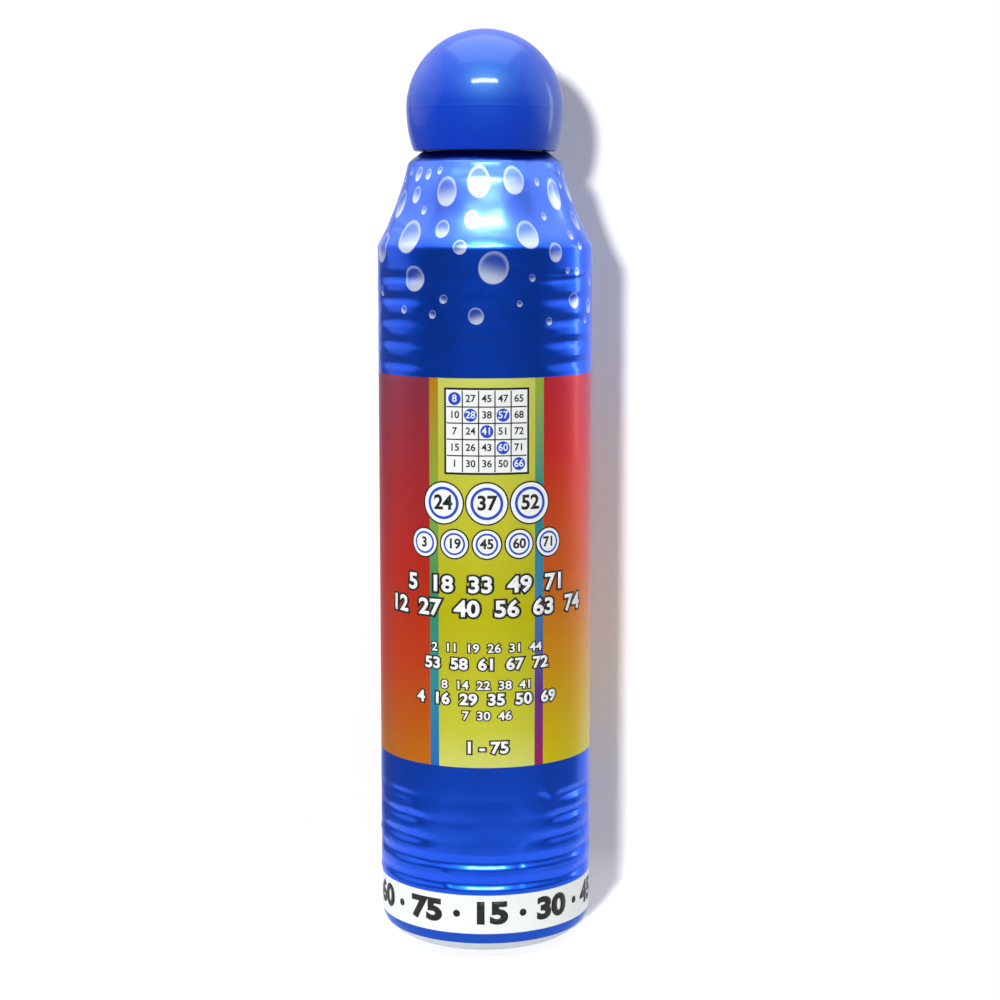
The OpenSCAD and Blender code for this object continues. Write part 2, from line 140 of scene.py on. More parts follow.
@dataclass(frozen=True)
class ShellForm:
    """Outline of the blown bottle, in millimetres, which the film follows."""

    body_r: float = 17.8
    body_h: float = 118.0
    wall: float = 1.0
    corner_r: float = 5.0
    pushup_h: float = 2.2
    standing_w: float = 1.5
    shoulder_h: float = 14.0
    shoulder_corner_r: float = 1.5
    shoulder_turn: float = math.radians(16)
    top_r: float = 12.5
    ledge_edge_r: float = 0.8
    ring_r: float = 10.1
    ring_h: float = 1.2
    neck_r: float = 9.6
    bore_r: float = 8.1
    lip_z: float = 140.2
    snap_h: float = 0.25
    snap_l: float = 1.2
    mouth_chamfer: float = 0.3
    groove_w: float = 2.7
    groove_depth: float = 0.45
    groove_pitch: float = 3.5
    grooves_per_zone: int = 5
    lower_groove_z: float = 12.6
    upper_groove_z: float = 99.0

    @property
    def ledge_z(self) -> float:
        """Height of the ledge round the neck."""
        return self.body_h + self.shoulder_h

    @property
    def ring_top_z(self) -> float:
        """Height of the neck ring's top."""
        return self.ledge_z + self.ring_h

    @property
    def low_angle(self) -> float:
        """Angle of the shoulder's normal at its foot."""
        return math.atan2(self.body_r - self.top_r, self.shoulder_h) + self.shoulder_turn / 2

    @property
    def high_angle(self) -> float:
        """Angle of the shoulder's normal at its top."""
        return self.low_angle - self.shoulder_turn

    @property
    def corner_back(self) -> float:
        """Distance from the body's corner to where its rounding starts."""
        return self.shoulder_corner_r * math.tan(self.low_angle / 2)

    def groove_centres(self) -> list[float]:
        """Heights of all the grooves, lowest first."""
        return [foot + i * self.groove_pitch for foot in (self.lower_groove_z, self.upper_groove_z)
                for i in range(self.grooves_per_zone)]

    def groove_wave(self, height: float) -> float:
        """Depth of the grooves at a height, as a share of their full depth."""
        offsets = [abs(height - z) / (self.groove_w / 2) for z in self.groove_centres()]
        nearest = min(offsets)
        return (1 + math.cos(math.pi * nearest)) / 2 if nearest < 1 else 0.0

    def side_heights(self, fine: float, coarse: float) -> list[float]:
        """Heights of the rows on the straight side.

        Args:
            fine: Step across the grooves.
            coarse: Step over the plain barrel.

        Returns:
            Heights from the base corner up to the shoulder's corner.
        """
        half = self.groove_w / 2
        span = (self.grooves_per_zone - 1) * self.groove_pitch
        stops = [(self.corner_r, 2 * fine), (self.lower_groove_z - half, 0.7 * fine),
                 (self.lower_groove_z + self.groove_pitch + half, fine),
                 (self.lower_groove_z + span + half, coarse), (self.upper_groove_z - half, fine),
                 (self.upper_groove_z + span + half, fine)]
        ends = [z for z, _ in stops[1:]] + [self.body_h - self.corner_back]
        return [z for (start, pitch), end in zip(stops, ends) for z in spaced(start, end, pitch)]

    def base(self, steps: int) -> list[Station]:
        """Stations of the pushed-up middle and the standing ring."""
        standing_r = self.body_r - self.corner_r
        pushup_r = standing_r - self.standing_w
        rise = [(pushup_r * i / steps, self.pushup_h * (1 - (i / steps) ** 2), 0.0, -1.0)
                for i in range(steps + 1)]
        return rise + [(standing_r, 0.0, 0.0, -1.0)]

    def corner(self, start: float, steps: int) -> list[Station]:
        """Stations of the base corner, from an angle below the horizontal up to the side."""
        return arc((self.body_r - self.corner_r, self.corner_r), self.corner_r, start, 0, steps)

    def side(self, fine: float, coarse: float, depth: float) -> list[Station]:
        """Stations of the straight side, with grooves of the given depth."""
        return [(self.body_r - depth * self.groove_wave(z), z, 1.0, 0.0)
                for z in self.side_heights(fine, coarse)[1:]]

    def shoulder(self, steps: int) -> list[Station]:
        """Stations of the shoulder: its rounded corner and its hollow curve."""
        corner = arc((self.body_r - self.shoulder_corner_r, self.body_h - self.corner_back),
                     self.shoulder_corner_r, 0, self.low_angle, steps // 2)
        chord = math.hypot(self.body_r - self.top_r, self.shoulder_h)
        radius = chord / (2 * math.sin(self.shoulder_turn / 2))
        low = self.low_angle
        angles = [low - self.shoulder_turn * i / steps for i in range(1, steps)]
        hollow = [(self.body_r + radius * (math.cos(low) - math.cos(a)),
                   self.body_h + radius * (math.sin(low) - math.sin(a)), math.cos(a), math.sin(a))
                  for a in angles]
        return corner + hollow

    def neck_foot(self, steps: int) -> list[Station]:
        """Stations of the ledge's rounded edge, the ledge and the neck ring."""
        back = self.ledge_edge_r * math.tan((math.pi / 2 - self.high_angle) / 2)
        edge = arc((self.top_r - back, self.ledge_z - self.ledge_edge_r), self.ledge_edge_r,
                   self.high_angle, math.pi / 2, steps)
        return edge + [(self.ring_r, self.ledge_z, 1.0, 1.0), (self.ring_r, self.ring_top_z, 1.0, 0.0)]


SHELL = ShellForm()


# Modelling with Blender's operators


class Workbench:
    """The modelling moves that the sub-assemblies share."""

    @staticmethod
    def clear() -> None:
        """Deselects everything, so that an operator acts on new work alone."""
        bpy.ops.object.select_all(action="DESELECT")

    @staticmethod
    def pick(piece: Piece) -> None:
        """Selects one piece alone and makes it active."""
        Workbench.clear()
        piece.select_set(True)
        bpy.context.view_layer.objects.active = piece

    @staticmethod
    def outlined(name: str, points: Sequence[Point]) -> Piece:
        """Draws an outline in the XZ plane, vertex by vertex.

        Args:
            name: Name of the piece.
            points: Radius and height of each point, in millimetres.

        Returns:
            The piece, left in edit mode with all of it selected.
        """
        Workbench.clear()
        bpy.ops.mesh.primitive_plane_add(size=MM)
        piece = bpy.context.object
        piece.name = piece.data.name = name
        bpy.ops.object.mode_set(mode="EDIT")
        bpy.ops.mesh.select_all(action="SELECT")
        bpy.ops.mesh.merge(type="CENTER")
        here = (0.0, 0.0)
        for i, there in enumerate(points):
            step = ((there[0] - here[0]) * MM, 0.0, (there[1] - here[1]) * MM)
            if i == 0:
                bpy.ops.transform.translate(value=step)
            else:
                bpy.ops.mesh.extrude_vertices_move(TRANSFORM_OT_translate={"value": step})
            here = there
        bpy.ops.mesh.select_all(action="SELECT")
        return piece

    @staticmethod
    def turned(name: str, points: Sequence[Point], sides: int, closed: bool = False,
               sharp: float = 40) -> Piece:
        """Turns an outline round the axis into a closed shell.

        Args:
            name: Name of the piece.
            points: Outline, from axis to axis or, for a ring, all round its section.
            sides: Number of steps round the axis.
            closed: Whether the outline's last point joins its first.
            sharp: Angle past which an edge stays sharp, in degrees.

        Returns:
            The piece, in object mode.
        """
        loop = [*points, points[0]] if closed else points
        piece = Workbench.outlined(name, loop)
        bpy.ops.mesh.remove_doubles(threshold=MM * MM)
        bpy.ops.mesh.spin(steps=sides, angle=math.tau, center=(0, 0, 0), axis=(0, 0, 1))
        Workbench.close_mesh(sharp)
        return piece

    @staticmethod
    def close_mesh(sharp: float) -> None:
        """Merges doubles, turns the normals out and smooths the piece in edit mode."""
        bpy.ops.mesh.select_all(action="SELECT")
        bpy.ops.mesh.remove_doubles(threshold=MM * MM)
        bpy.ops.mesh.normals_make_consistent(inside=False)
        bpy.ops.object.mode_set(mode="OBJECT")
        bpy.ops.object.shade_smooth_by_angle(angle=math.radians(sharp))

    @staticmethod
    def wound(name: str, section: Sequence[Point], turns: float, lead: float, steps: int) -> Piece:
        """Winds a closed section round the axis along a right-handed helix.

        Args:
            name: Name of the piece.
            section: Radius and height of the section's points at the start, in millimetres.
            turns: Number of turns.
            lead: Rise of one turn, in millimetres.
            steps: Steps in one turn.

        Returns:
            The piece, in object mode, its vertices in order from section to section.
        """
        piece = Workbench.outlined(name, [*section, section[0]])
        bpy.ops.mesh.remove_doubles(threshold=MM * MM)
        bpy.ops.object.mode_set(mode="OBJECT")
        winding = piece.modifiers.new("winding", "SCREW")
        winding.angle = math.tau * turns
        winding.screw_offset = lead * turns * MM
        winding.steps = winding.render_steps = round(steps * turns)
        winding.use_smooth_shade = True
        bpy.ops.object.modifier_apply(modifier=winding.name)
        return piece

    @staticmethod
    def plugged(piece: Piece, sharp: float) -> Piece:
        """Closes the open ends of a wound piece."""
        Workbench.pick(piece)
        bpy.ops.object.mode_set(mode="EDIT")
        bpy.ops.mesh.select_all(action="SELECT")
        bpy.ops.mesh.fill_holes(sides=0)
        Workbench.close_mesh(sharp)
        return piece

    @staticmethod
    def coordinates(piece: Piece) -> np.ndarray:
        """The piece's vertices, one row each, in millimetres."""
        flat = np.empty(len(piece.data.vertices) * 3)
        piece.data.vertices.foreach_get("co", flat)
        return flat.reshape(-1, 3) / MM

    @staticmethod
    def reshape(piece: Piece, points: np.ndarray) -> None:
        """Puts the piece's vertices at new places, given in millimetres."""
        piece.data.vertices.foreach_set("co", (points * MM).ravel())
        piece.data.update()

    @staticmethod
    def from_axis(points: np.ndarray) -> tuple[np.ndarray, np.ndarray]:
        """Each point's distance from the axis, and its angle from the front."""
        return np.hypot(points[:, 0], points[:, 1]), np.arctan2(points[:, 0], -points[:, 1])

    @staticmethod
    def round_axis(radius: np.ndarray, angle: np.ndarray, up: np.ndarray) -> np.ndarray:
        """Points at some distances from the axis, angles from the front and heights."""
        return np.stack([radius * np.sin(angle), -radius * np.cos(angle), up], axis=1)

    @staticmethod
    def corner_map(piece: Piece, name: str, places: np.ndarray) -> None:
        """Adds a UV map that has one place for each corner of each face."""
        piece.data.uv_layers.new(name=name).data.foreach_set("uv", places.ravel())

    @staticmethod
    def face_corners(piece: Piece) -> np.ndarray:
        """The number of the vertex at each corner of each face."""
        corners = np.empty(len(piece.data.loops), dtype=np.int64)
        piece.data.loops.foreach_get("vertex_index", corners)
        return corners

    @staticmethod
    def joined(name: str, parts: Sequence[Piece]) -> Piece:
        """Joins several meshes into one piece of the given name."""
        Workbench.clear()
        for part in parts:
            part.select_set(True)
        bpy.context.view_layer.objects.active = parts[0]
        bpy.ops.object.join()
        parts[0].name = parts[0].data.name = name
        return parts[0]


def seat(piece: Piece, body: Body, slot: Slot, material: Material, *stands_for: str) -> None:
    """Gives a finished piece its material and body, and reports it.

    Args:
        piece: The finished piece.
        body: Body that it rides on.
        slot: Not used.
        material: Its material.
        stands_for: CAD nodes that it replaces.
    """
    piece.data.materials.clear()
    piece.data.materials.append(material)
    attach(piece, body.value)
    if stands_for:
        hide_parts(*stands_for)
    log.info("%s: %d faces on %s", piece.name, len(piece.data.polygons), body.value)


def dress(node: str, material: Material) -> None:
    """Gives a CAD node that stays in view its material."""
    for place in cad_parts[node].material_slots:
        place.material = material
    log.info("%s: CAD node, finished in %s", node, material.name)


# Materials


def tint(code: str) -> tuple[float, float, float, float]:
    """Linear colour of a hex code such as 1f4fd0."""
    parts = [int(code[i:i + 2], 16) / 255 for i in (0, 2, 4)]
    linear = [c / 12.92 if c <= 0.04045 else ((c + 0.055) / 1.055) ** 2.4 for c in parts]
    return (linear[0], linear[1], linear[2], 1.0)


class Wiring:
    """Adds and links the nodes of one material or node group."""

    def __init__(self, tree: bpy.types.NodeTree) -> None:
        """Starts on an existing node tree."""
        self.tree = tree

    def feed(self, socket: Socket, value: object) -> None:
        """Links a socket to another, or sets its value."""
        if isinstance(value, bpy.types.NodeSocket):
            self.tree.links.new(value, socket)
        else:
            socket.default_value = value

    def fill(self, node: bpy.types.Node, inputs: dict[str | int, object]) -> None:
        """Links or sets several inputs of a node, by name or number."""
        for key, value in inputs.items():
            self.feed(node.inputs[key], value)

    def add(self, kind: str, inputs: dict[str | int, object] | None = None,
            **settings: object) -> bpy.types.Node:
        """Adds a node.

        Args:
            kind: Blender's name for the node, without ShaderNode.
            inputs: Values or sockets for its inputs, by name or number.
            settings: Its options.

        Returns:
            The node.
        """
        node = self.tree.nodes.new("ShaderNode" + kind)
        for option, value in settings.items():
            setattr(node, option, value)
        self.fill(node, inputs or {})
        return node

    def math(self, operation: str, *values: object, clamp: bool = False) -> Socket:
        """Result of one calculation on numbers."""
        node = self.add("Math", dict(enumerate(values)), operation=operation, use_clamp=clamp)
        return node.outputs[0]

    def mix(self, share: object, under: object, over: object, blend: str = "MIX") -> Socket:
        """Colour over laid on colour under by a share."""
        node = self.add("Mix", data_type="RGBA", blend_type=blend, clamp_factor=True)
        self.fill(node, {0: share, 6: under, 7: over})
        return node.outputs[2]

    def step(self, value: object, low: float, high: float) -> Socket:
        """Mask that rises smoothly from 0 at low to 1 at high."""
        node = self.add("MapRange", {0: value, 1: low, 2: high}, interpolation_type="SMOOTHSTEP")
        return node.outputs[0]

    def within(self, value: object, low: float, high: float, edge: float) -> Socket:
        """Mask of the values between low and high, with a soft edge."""
        middle, half = (low + high) / 2, (high - low) / 2
        away = self.math("ABSOLUTE", self.math("SUBTRACT", value, middle))
        return self.step(away, half + edge, half - edge)

    def ramp(self, value: object, stops: Sequence[tuple[float, str]]) -> Socket:
        """Colour along a row of stops, each a place from 0 to 1 and a hex code."""
        node = self.add("ValToRGB", {0: value})
        elements = node.color_ramp.elements
        for i, (place, code) in enumerate(stops):
            element = elements[i] if i < 2 else elements.new(place)
            element.position = place
            element.color = tint(code)
        return node.outputs[0]

    def noise(self, vector: object, scale: object, detail: float = 3, rough: float = 0.5) -> Socket:
        """Cloudy noise with values from 0 to 1."""
        node = self.add("TexNoise", {"Vector": vector, "Scale": scale, "Detail": detail,
                                     "Roughness": rough})
        return node.outputs[0]

    def bump(self, height: Socket, depth: float) -> Socket:
        """Normal of a surface whose height varies over a depth, in millimetres."""
        return self.add("Bump", {"Height": height, "Distance": depth * MM}).outputs[0]

    def place(self, stretch: Vector | None = None) -> Socket:
        """The piece's own coordinates in metres, stretched if asked."""
        own = self.add("TexCoord").outputs["Object"]
        if stretch is None:
            return own
        return self.add("Mapping", {"Vector": own, "Scale": stretch}).outputs[0]


def new_group(name: str, inputs: Sequence[tuple[str, str, object]],
              outputs: Sequence[tuple[str, str]]) -> tuple[Wiring, dict[str, Socket], bpy.types.Node]:
    """Starts a shader node group.

    Args:
        name: Name of the group.
        inputs: Name, socket type and default of each input.
        outputs: Name and socket type of each output.

    Returns:
        Its wiring, its inputs by name, and the node that takes its outputs.
    """
    tree = bpy.data.node_groups.new(name, "ShaderNodeTree")
    for label, kind, value in inputs:
        made = tree.interface.new_socket(label, in_out="INPUT", socket_type="NodeSocket" + kind)
        made.default_value = value
    for label, kind in outputs:
        tree.interface.new_socket(label, in_out="OUTPUT", socket_type="NodeSocket" + kind)
    source = tree.nodes.new("NodeGroupInput")
    sink = tree.nodes.new("NodeGroupOutput")
    return Wiring(tree), {s.name: s for s in source.outputs if s.name}, sink


def moulded_group() -> bpy.types.NodeTree:
    """Builds the surface of moulded plastic: faint clouds of tone, handling marks and grain."""
    wiring, given, sink = new_group(
        "moulded_surface",
        [("Tint", "Color", (1, 1, 1, 1)), ("Shade", "Float", 0.1), ("Roughness", "Float", 0.3),
         ("Scuff", "Float", 0.1), ("Grain", "Float", 2500.0)],
        [("Color", "Color"), ("Roughness", "Float"), ("Height", "Float")])
    shadow = (0.55, 0.55, 0.6, 1)
    streak_scale = Vector((900, 900, 60))
    haze_share, broad_share = 0.35, 3.0
    place = wiring.place()
    clouds = wiring.noise(place, 120, detail=2)
    dark = wiring.mix(1.0, given["Tint"], shadow, blend="MULTIPLY")
    share = wiring.math("MULTIPLY", given["Shade"], clouds)
    marks = wiring.step(wiring.noise(wiring.place(streak_scale), 1.0, detail=4, rough=0.7), 0.62, 0.8)
    haze = wiring.math("MULTIPLY_ADD", wiring.noise(place, 300), haze_share, marks)
    fine = wiring.noise(place, given["Grain"], detail=2)
    broad = wiring.noise(place, 160, detail=1)
    wiring.fill(sink, {
        "Color": wiring.mix(share, given["Tint"], dark),
        "Roughness": wiring.math("MULTIPLY_ADD", haze, given["Scuff"], given["Roughness"]),
        "Height": wiring.math("MULTIPLY_ADD", broad, broad_share, fine)})
    return wiring.tree


def wrap_group() -> bpy.types.NodeTree:
    """Builds the unrolled coordinates of the bottle's side: round it and up it, in millimetres."""
    wiring, _, sink = new_group("unrolled_side", [], [("Around", "Float"), ("Up", "Float")])
    axes = wiring.add("SeparateXYZ", {0: wiring.place()})
    back = wiring.math("MULTIPLY", axes.outputs[1], -1.0)
    angle = wiring.math("ARCTAN2", axes.outputs[0], back)
    wiring.fill(sink, {"Around": wiring.math("MULTIPLY", angle, FilmForm.outer_r),
                       "Up": wiring.math("MULTIPLY", axes.outputs[2], 1 / MM)})
    return wiring.tree


@dataclass(frozen=True)
class SolidFinish:
    """A finish for one solid material: moulded plastic, rubber, foam or wire."""

    name: str
    colour: str
    rough: float = 0.3
    shade: float = 0.15
    scuff: float = 0.15
    grain: float = 2500.0
    depth: float = 0.004
    metallic: float = 0.0
    coat: float = 0.0
    coat_rough: float = 0.06
    gloss: float = 0.5
    gloss_tint: str = "ffffff"
    inner_light: float = 0.0
    inner_reach: float = 0.8

    def material(self) -> Material:
        """Builds the material.

        Returns:
            A node-based material on the piece's own coordinates.
        """
        made, wiring, shader = new_material(self.name)
        group = wiring.add("Group", node_tree=bpy.data.node_groups["moulded_surface"])
        wiring.fill(group, {"Tint": tint(self.colour), "Shade": self.shade, "Scuff": self.scuff,
                            "Roughness": self.rough, "Grain": self.grain})
        surface = group.outputs
        wiring.fill(shader, {
            "Base Color": surface["Color"], "Roughness": surface["Roughness"],
            "Normal": wiring.bump(surface["Height"], self.depth), "Metallic": self.metallic,
            "Coat Weight": self.coat, "Coat Roughness": self.coat_rough,
            "Specular IOR Level": self.gloss, "Specular Tint": tint(self.gloss_tint),
            "Subsurface Weight": self.inner_light, "Subsurface Radius": (1.0, 1.0, 1.0),
            "Subsurface Scale": self.inner_reach * MM})
        return made


def new_material(name: str) -> tuple[Material, Wiring, bpy.types.Node]:
    """Starts a material.

    Args:
        name: Name of the material.

    Returns:
        The material, its wiring and its Principled shader.
    """
    made = bpy.data.materials.new(name)
    made.use_nodes = True
    return made, Wiring(made.node_tree), made.node_tree.nodes["Principled BSDF"]


# Printed film


@dataclass(frozen=True)
class Crease:
    """A small fold in the film, from one end to the other.

    Angles are in degrees from the front and the rest is in millimetres. Bow is how far its middle
    stands off the straight line, and a negative height is a dent. A fold has a hollow beside it.
    """

    start: Point
    end: Point
    bow: float
    width: float
    height: float
    hollow: float = 0.4
    hollow_off: float = 1.6

    def lift(self, around: np.ndarray, up: np.ndarray, radius: float) -> np.ndarray:
        """How far the fold lifts the film at some places.

        Args:
            around: Distance of each place round the film, from the front.
            up: Height of each place.
            radius: Radius that turns the angles into distances.

        Returns:
            Lift at each place.
        """
        start = np.array([math.radians(self.start[0]) * radius, self.start[1]])
        along = np.array([math.radians(self.end[0]) * radius, self.end[1]]) - start
        length = float(np.hypot(*along))
        along = along / length
        from_start = np.stack([around - start[0], up - start[1]])
        share = np.clip(along @ from_start / length, 0, 1)
        bow = self.bow * 4 * share * (1 - share)
        gap = from_start - share * length * along[:, None]
        side = gap[0] * -along[1] + gap[1] * along[0] - bow
        past = np.abs(along @ gap)
        ends = np.sqrt(np.sin(np.pi * share)) * np.exp(-(past / self.width) ** 2)
        fold = np.exp(-(side / self.width) ** 2)
        dent = np.exp(-((side + self.hollow_off * self.width) / self.width) ** 2)
        return self.height * ends * (fold - self.hollow * dent)


@dataclass(frozen=True)
class FilmForm:
    """The shrunk film: its thickness, its fit on the bottle and its small folds.

    Sizes and heights are in millimetres. A span is where a change starts and ends, up the film
    in millimetres or round it in degrees, as the sinks are, and a stray's spans are the least
    and the greatest. End_angle, deep_reach and standoff_reach are in radians. Uneven, fine_sag
    and back_sink are shares. A grain is how fast a noise changes round the film and up it, and
    its shift.
    """

    outer_r: float = 18.0
    gap: float = 0.05
    thickness: float = 0.15
    end_angle: float = math.radians(-31)
    collar_gap: float = 0.3
    sides: int = 264
    row: float = 0.3
    plain_row: float = 2.3
    dip: float = 0.02
    side_dip: float = 0.24
    low_dip: float = 0.04
    uneven: float = 0.9
    deep_dip: float = 0.44
    deep_reach: float = 0.75
    deep_grooves: int = 2
    flank_foot: float = 1.0
    flank_h: float = 0.8
    standoff: float = 0.8
    standoff_reach: float = 0.9
    sag: float = 0.07
    label_sag: float = 0.015
    fine_sag: float = 0.4
    pleat: float = 0.08
    seam_w: float = 4.0
    seam_h: float = 0.05
    seam_edge: float = 1.0
    bridge_rise: Span = (120.5, 128.5)
    bridge_fall: Span = (128.5, 131.8)
    label_rise: Span = (26, 32)
    label_fall: Span = (94, 99)
    band_fall: Span = (11.3, 13.0)
    gathers: Span = (124, 130.5)
    free_foot: Span = (2.6, 4.5)
    free_top: Span = (132.3, 133.3)
    low_sink: float = 10
    low_sink_step: float = 6
    high_sink: float = 26
    sink_run: float = 22
    sink_end: Span = (62, 85)
    back_sink: float = 0.8
    back_run: Span = (100, 125)
    patch_grain: Grain = (2.2, 0.14, 4.5)
    sag_grain: Grain = (3.2, 0.13, 0.0)
    fine_grain: Grain = (7.0, 0.5, 9.0)
    pleat_grain: Grain = (9.0, 0.08, 5.0)
    strays: int = 16
    stray_angles: Span = (95, 265)
    stray_heights: tuple[Span, Span] = ((11, 29), (97, 129))
    seed: int = 21

    def folds(self) -> list[Crease]:
        """Folds of the front, and strays round the rest of the film.

        Returns:
            All the folds.
        """
        front = [
            Crease((24, 113.2), (84, 114.4), -0.5, 0.32, 0.17),
            Crease((48, 127.0), (72, 130.2), 0.2, 0.28, 0.12),
            Crease((54, 130.0), (68, 127.6), 0.0, 0.28, 0.11),
            Crease((-74, 121.9), (-48, 121.2), 0.3, 0.32, 0.13),
            Crease((-72, 120.2), (-50, 120.0), 0.2, 0.28, 0.1),
            Crease((-12, 118.9), (14, 118.7), 0.1, 0.4, 0.05),
            Crease((19, 10.8), (21, 19.5), 0.4, 0.7, -0.16),
            Crease((38, 20.0), (43, 29.0), 0.6, 1.0, 0.14),
            Crease((30, 28.2), (38, 26.6), 0.3, 0.6, 0.14),
            Crease((-23.5, 14.6), (-20, 14.0), 0.1, 0.35, 0.14),
            Crease((-23, 12.5), (-19.5, 11.6), 0.1, 0.35, 0.14),
            Crease((-52, 24.6), (-30, 23.6), 0.5, 0.8, 0.10),
            Crease((-44, 26.4), (-40, 21.0), 0.3, 0.6, 0.08),
        ]
        dice = random.Random(self.seed)
        strays = []
        for _ in range(self.strays):
            angle = dice.uniform(*self.stray_angles)
            height = dice.choice([dice.uniform(*span) for span in self.stray_heights])
            end = (angle + dice.uniform(6, 26), height + dice.uniform(-1.5, 1.5))
            strays.append(Crease((angle, height), end, bow=dice.uniform(-0.5, 0.5),
                                 width=dice.uniform(0.35, 0.7), height=dice.uniform(0.05, 0.12)))
        return front + strays

    def relief(self, angle: np.ndarray, up: np.ndarray) -> np.ndarray:
        """How far the film stands off its turned outline.

        Args:
            angle: Angle of each place from the front, in radians.
            up: Height of each place, in millimetres.

        Returns:
            Lift at each place, in millimetres, negative where it sinks into a groove.
        """
        ring = np.stack([np.sin(angle), np.cos(angle)])

        def wander(round_it: float, up_it: float, shift: float) -> np.ndarray:
            """Smooth noise from -1 to 1 that closes on itself round the bottle."""
            points = zip(ring[0] * round_it, ring[1] * round_it + shift, up * up_it)
            return np.fromiter((noise.noise(p) for p in points), float, len(up))

        turned = (angle + np.pi) % math.tau - np.pi
        bridge = softened(up, *self.bridge_rise) * (1 - softened(up, *self.bridge_fall))
        lift = self.standoff * bridge * np.exp(-(turned / self.standoff_reach) ** 4)
        patch = wander(*self.patch_grain)
        for i, centre in enumerate(SHELL.groove_centres()):
            share = np.abs(up - centre) / (SHELL.groove_w / 2)
            wave = np.where(share < 1, (1 + np.cos(np.pi * np.minimum(share, 1))) / 2, 0)
            low = i < SHELL.grooves_per_zone
            most = self.side_dip + (self.low_dip if low else 0)
            sunk = self.grip(turned, self.low_sink + self.low_sink_step * i if low else self.high_sink)
            depth = self.dip + most * sunk * (1 + self.uneven * patch)
            if i < self.deep_grooves:
                near = np.exp(-(turned / self.deep_reach) ** 4)
                depth += (self.deep_dip - depth) * near
                flank = np.minimum((up - centre + self.flank_foot) / self.flank_h,
                                   (SHELL.groove_w / 2 + centre - up) / self.flank_foot)
                wave += (np.clip(flank, 0, 1) - wave) * near
            lift -= wave * np.clip(depth, 0, self.deep_dip)
        in_label = softened(up, *self.label_rise) * (1 - softened(up, *self.label_fall))
        on_band = 1 - softened(up, *self.band_fall)
        amount = self.sag + (self.label_sag - self.sag) * np.maximum(in_label, on_band)
        lift += amount * np.abs(wander(*self.sag_grain))
        lift += amount * self.fine_sag * wander(*self.fine_grain)
        lift += self.pleat * softened(up, *self.gathers) * np.abs(wander(*self.pleat_grain))
        for fold in self.folds():
            for turn in (-math.tau, 0, math.tau):
                around = (angle + turn) * self.outer_r
                reach = math.radians(max(abs(fold.start[0]), abs(fold.end[0])) + 10) * self.outer_r
                if np.abs(around).min() <= reach:
                    lift += fold.lift(around, up, self.outer_r)
        behind = np.abs((angle % math.tau) - np.pi) * self.outer_r
        half, edge = self.seam_w / 2, self.seam_edge
        lift += self.seam_h * (1 - softened(behind, half - edge, half + edge))
        return lift * softened(up, *self.free_foot) * (1 - softened(up, *self.free_top))

    def grip(self, turned: np.ndarray, start: float) -> np.ndarray:
        """How far the film sinks into a groove round the bottle, as a share.

        Args:
            turned: Angle of each place from the front, in radians.
            start: Angle at which the film starts to sink in, in degrees.

        Returns:
            Share at each place, least at the front and at the very sides.
        """
        away = np.degrees(np.abs(turned))
        side = softened(away, start, start + self.sink_run) * (1 - softened(away, *self.sink_end))
        return side + self.back_sink * softened(away, *self.back_run)

    def outline(self) -> list[Point]:
        """Closed section of the film before it sags, from its outer foot round to its inner foot."""
        outer = (SHELL.corner(self.end_angle, 14) + SHELL.side(self.row, self.plain_row, 0)
                 + SHELL.shoulder(30))
        inner = (SHELL.corner(self.end_angle, 5) + SHELL.side(2 * self.row, 2 * self.plain_row, 0)
                 + SHELL.shoulder(10))
        skin = self.gap + self.thickness
        return (moved_out(outer, skin) + self.collar(skin, 8)
                + (moved_out(inner, self.gap) + self.collar(self.gap, 3))[::-1])

    def collar(self, distance: float, steps: int) -> list[Point]:
        """Points where the film leaves the ledge's edge and runs straight up to the neck ring.

        Args:
            distance: Distance of the film's face from the bottle.
            steps: Steps of the rounded and of the straight part.

        Returns:
            Points from the shoulder's end to the film's top.
        """
        rest = SHELL.ledge_edge_r * math.tan((math.pi / 2 - SHELL.high_angle) / 2)
        centre = (SHELL.top_r - rest, SHELL.ledge_z - SHELL.ledge_edge_r)
        radius = SHELL.ledge_edge_r + distance
        end = (SHELL.ring_r + distance + self.collar_gap, SHELL.ring_top_z + self.collar_gap)
        away = (end[0] - centre[0], end[1] - centre[1])
        leave = math.atan2(away[1], away[0]) - math.acos(radius / math.hypot(*away))
        bend = moved_out(arc(centre, radius, SHELL.high_angle, leave, steps), 0)
        r, z = bend[-1]
        return bend + [(r + (end[0] - r) * i / steps, z + (end[1] - z) * i / steps)
                       for i in range(1, steps + 1)]

    def tilt(self, up: np.ndarray) -> np.ndarray:
        """Angle of the film's normal above the horizontal at some heights."""
        known = SHELL.corner(self.end_angle, 8) + SHELL.shoulder(12)
        return np.interp(up, [s[1] for s in known], [math.atan2(s[3], s[2]) for s in known])

    def skin_radius(self, up: np.ndarray) -> np.ndarray:
        """Radius of the film's outer face at heights on the base corner and the side."""
        drop = np.maximum(SHELL.corner_r - up, 0)
        outer = SHELL.corner_r + self.gap + self.thickness
        return SHELL.body_r - SHELL.corner_r + np.sqrt(np.maximum(outer ** 2 - drop ** 2, 0))


FILM = FilmForm()


@dataclass(frozen=True)
class Bubble:
    """One printed water bubble, in millimetres on the unrolled film."""

    around: float
    up: float
    wide: float
    tall: float
    lean: float


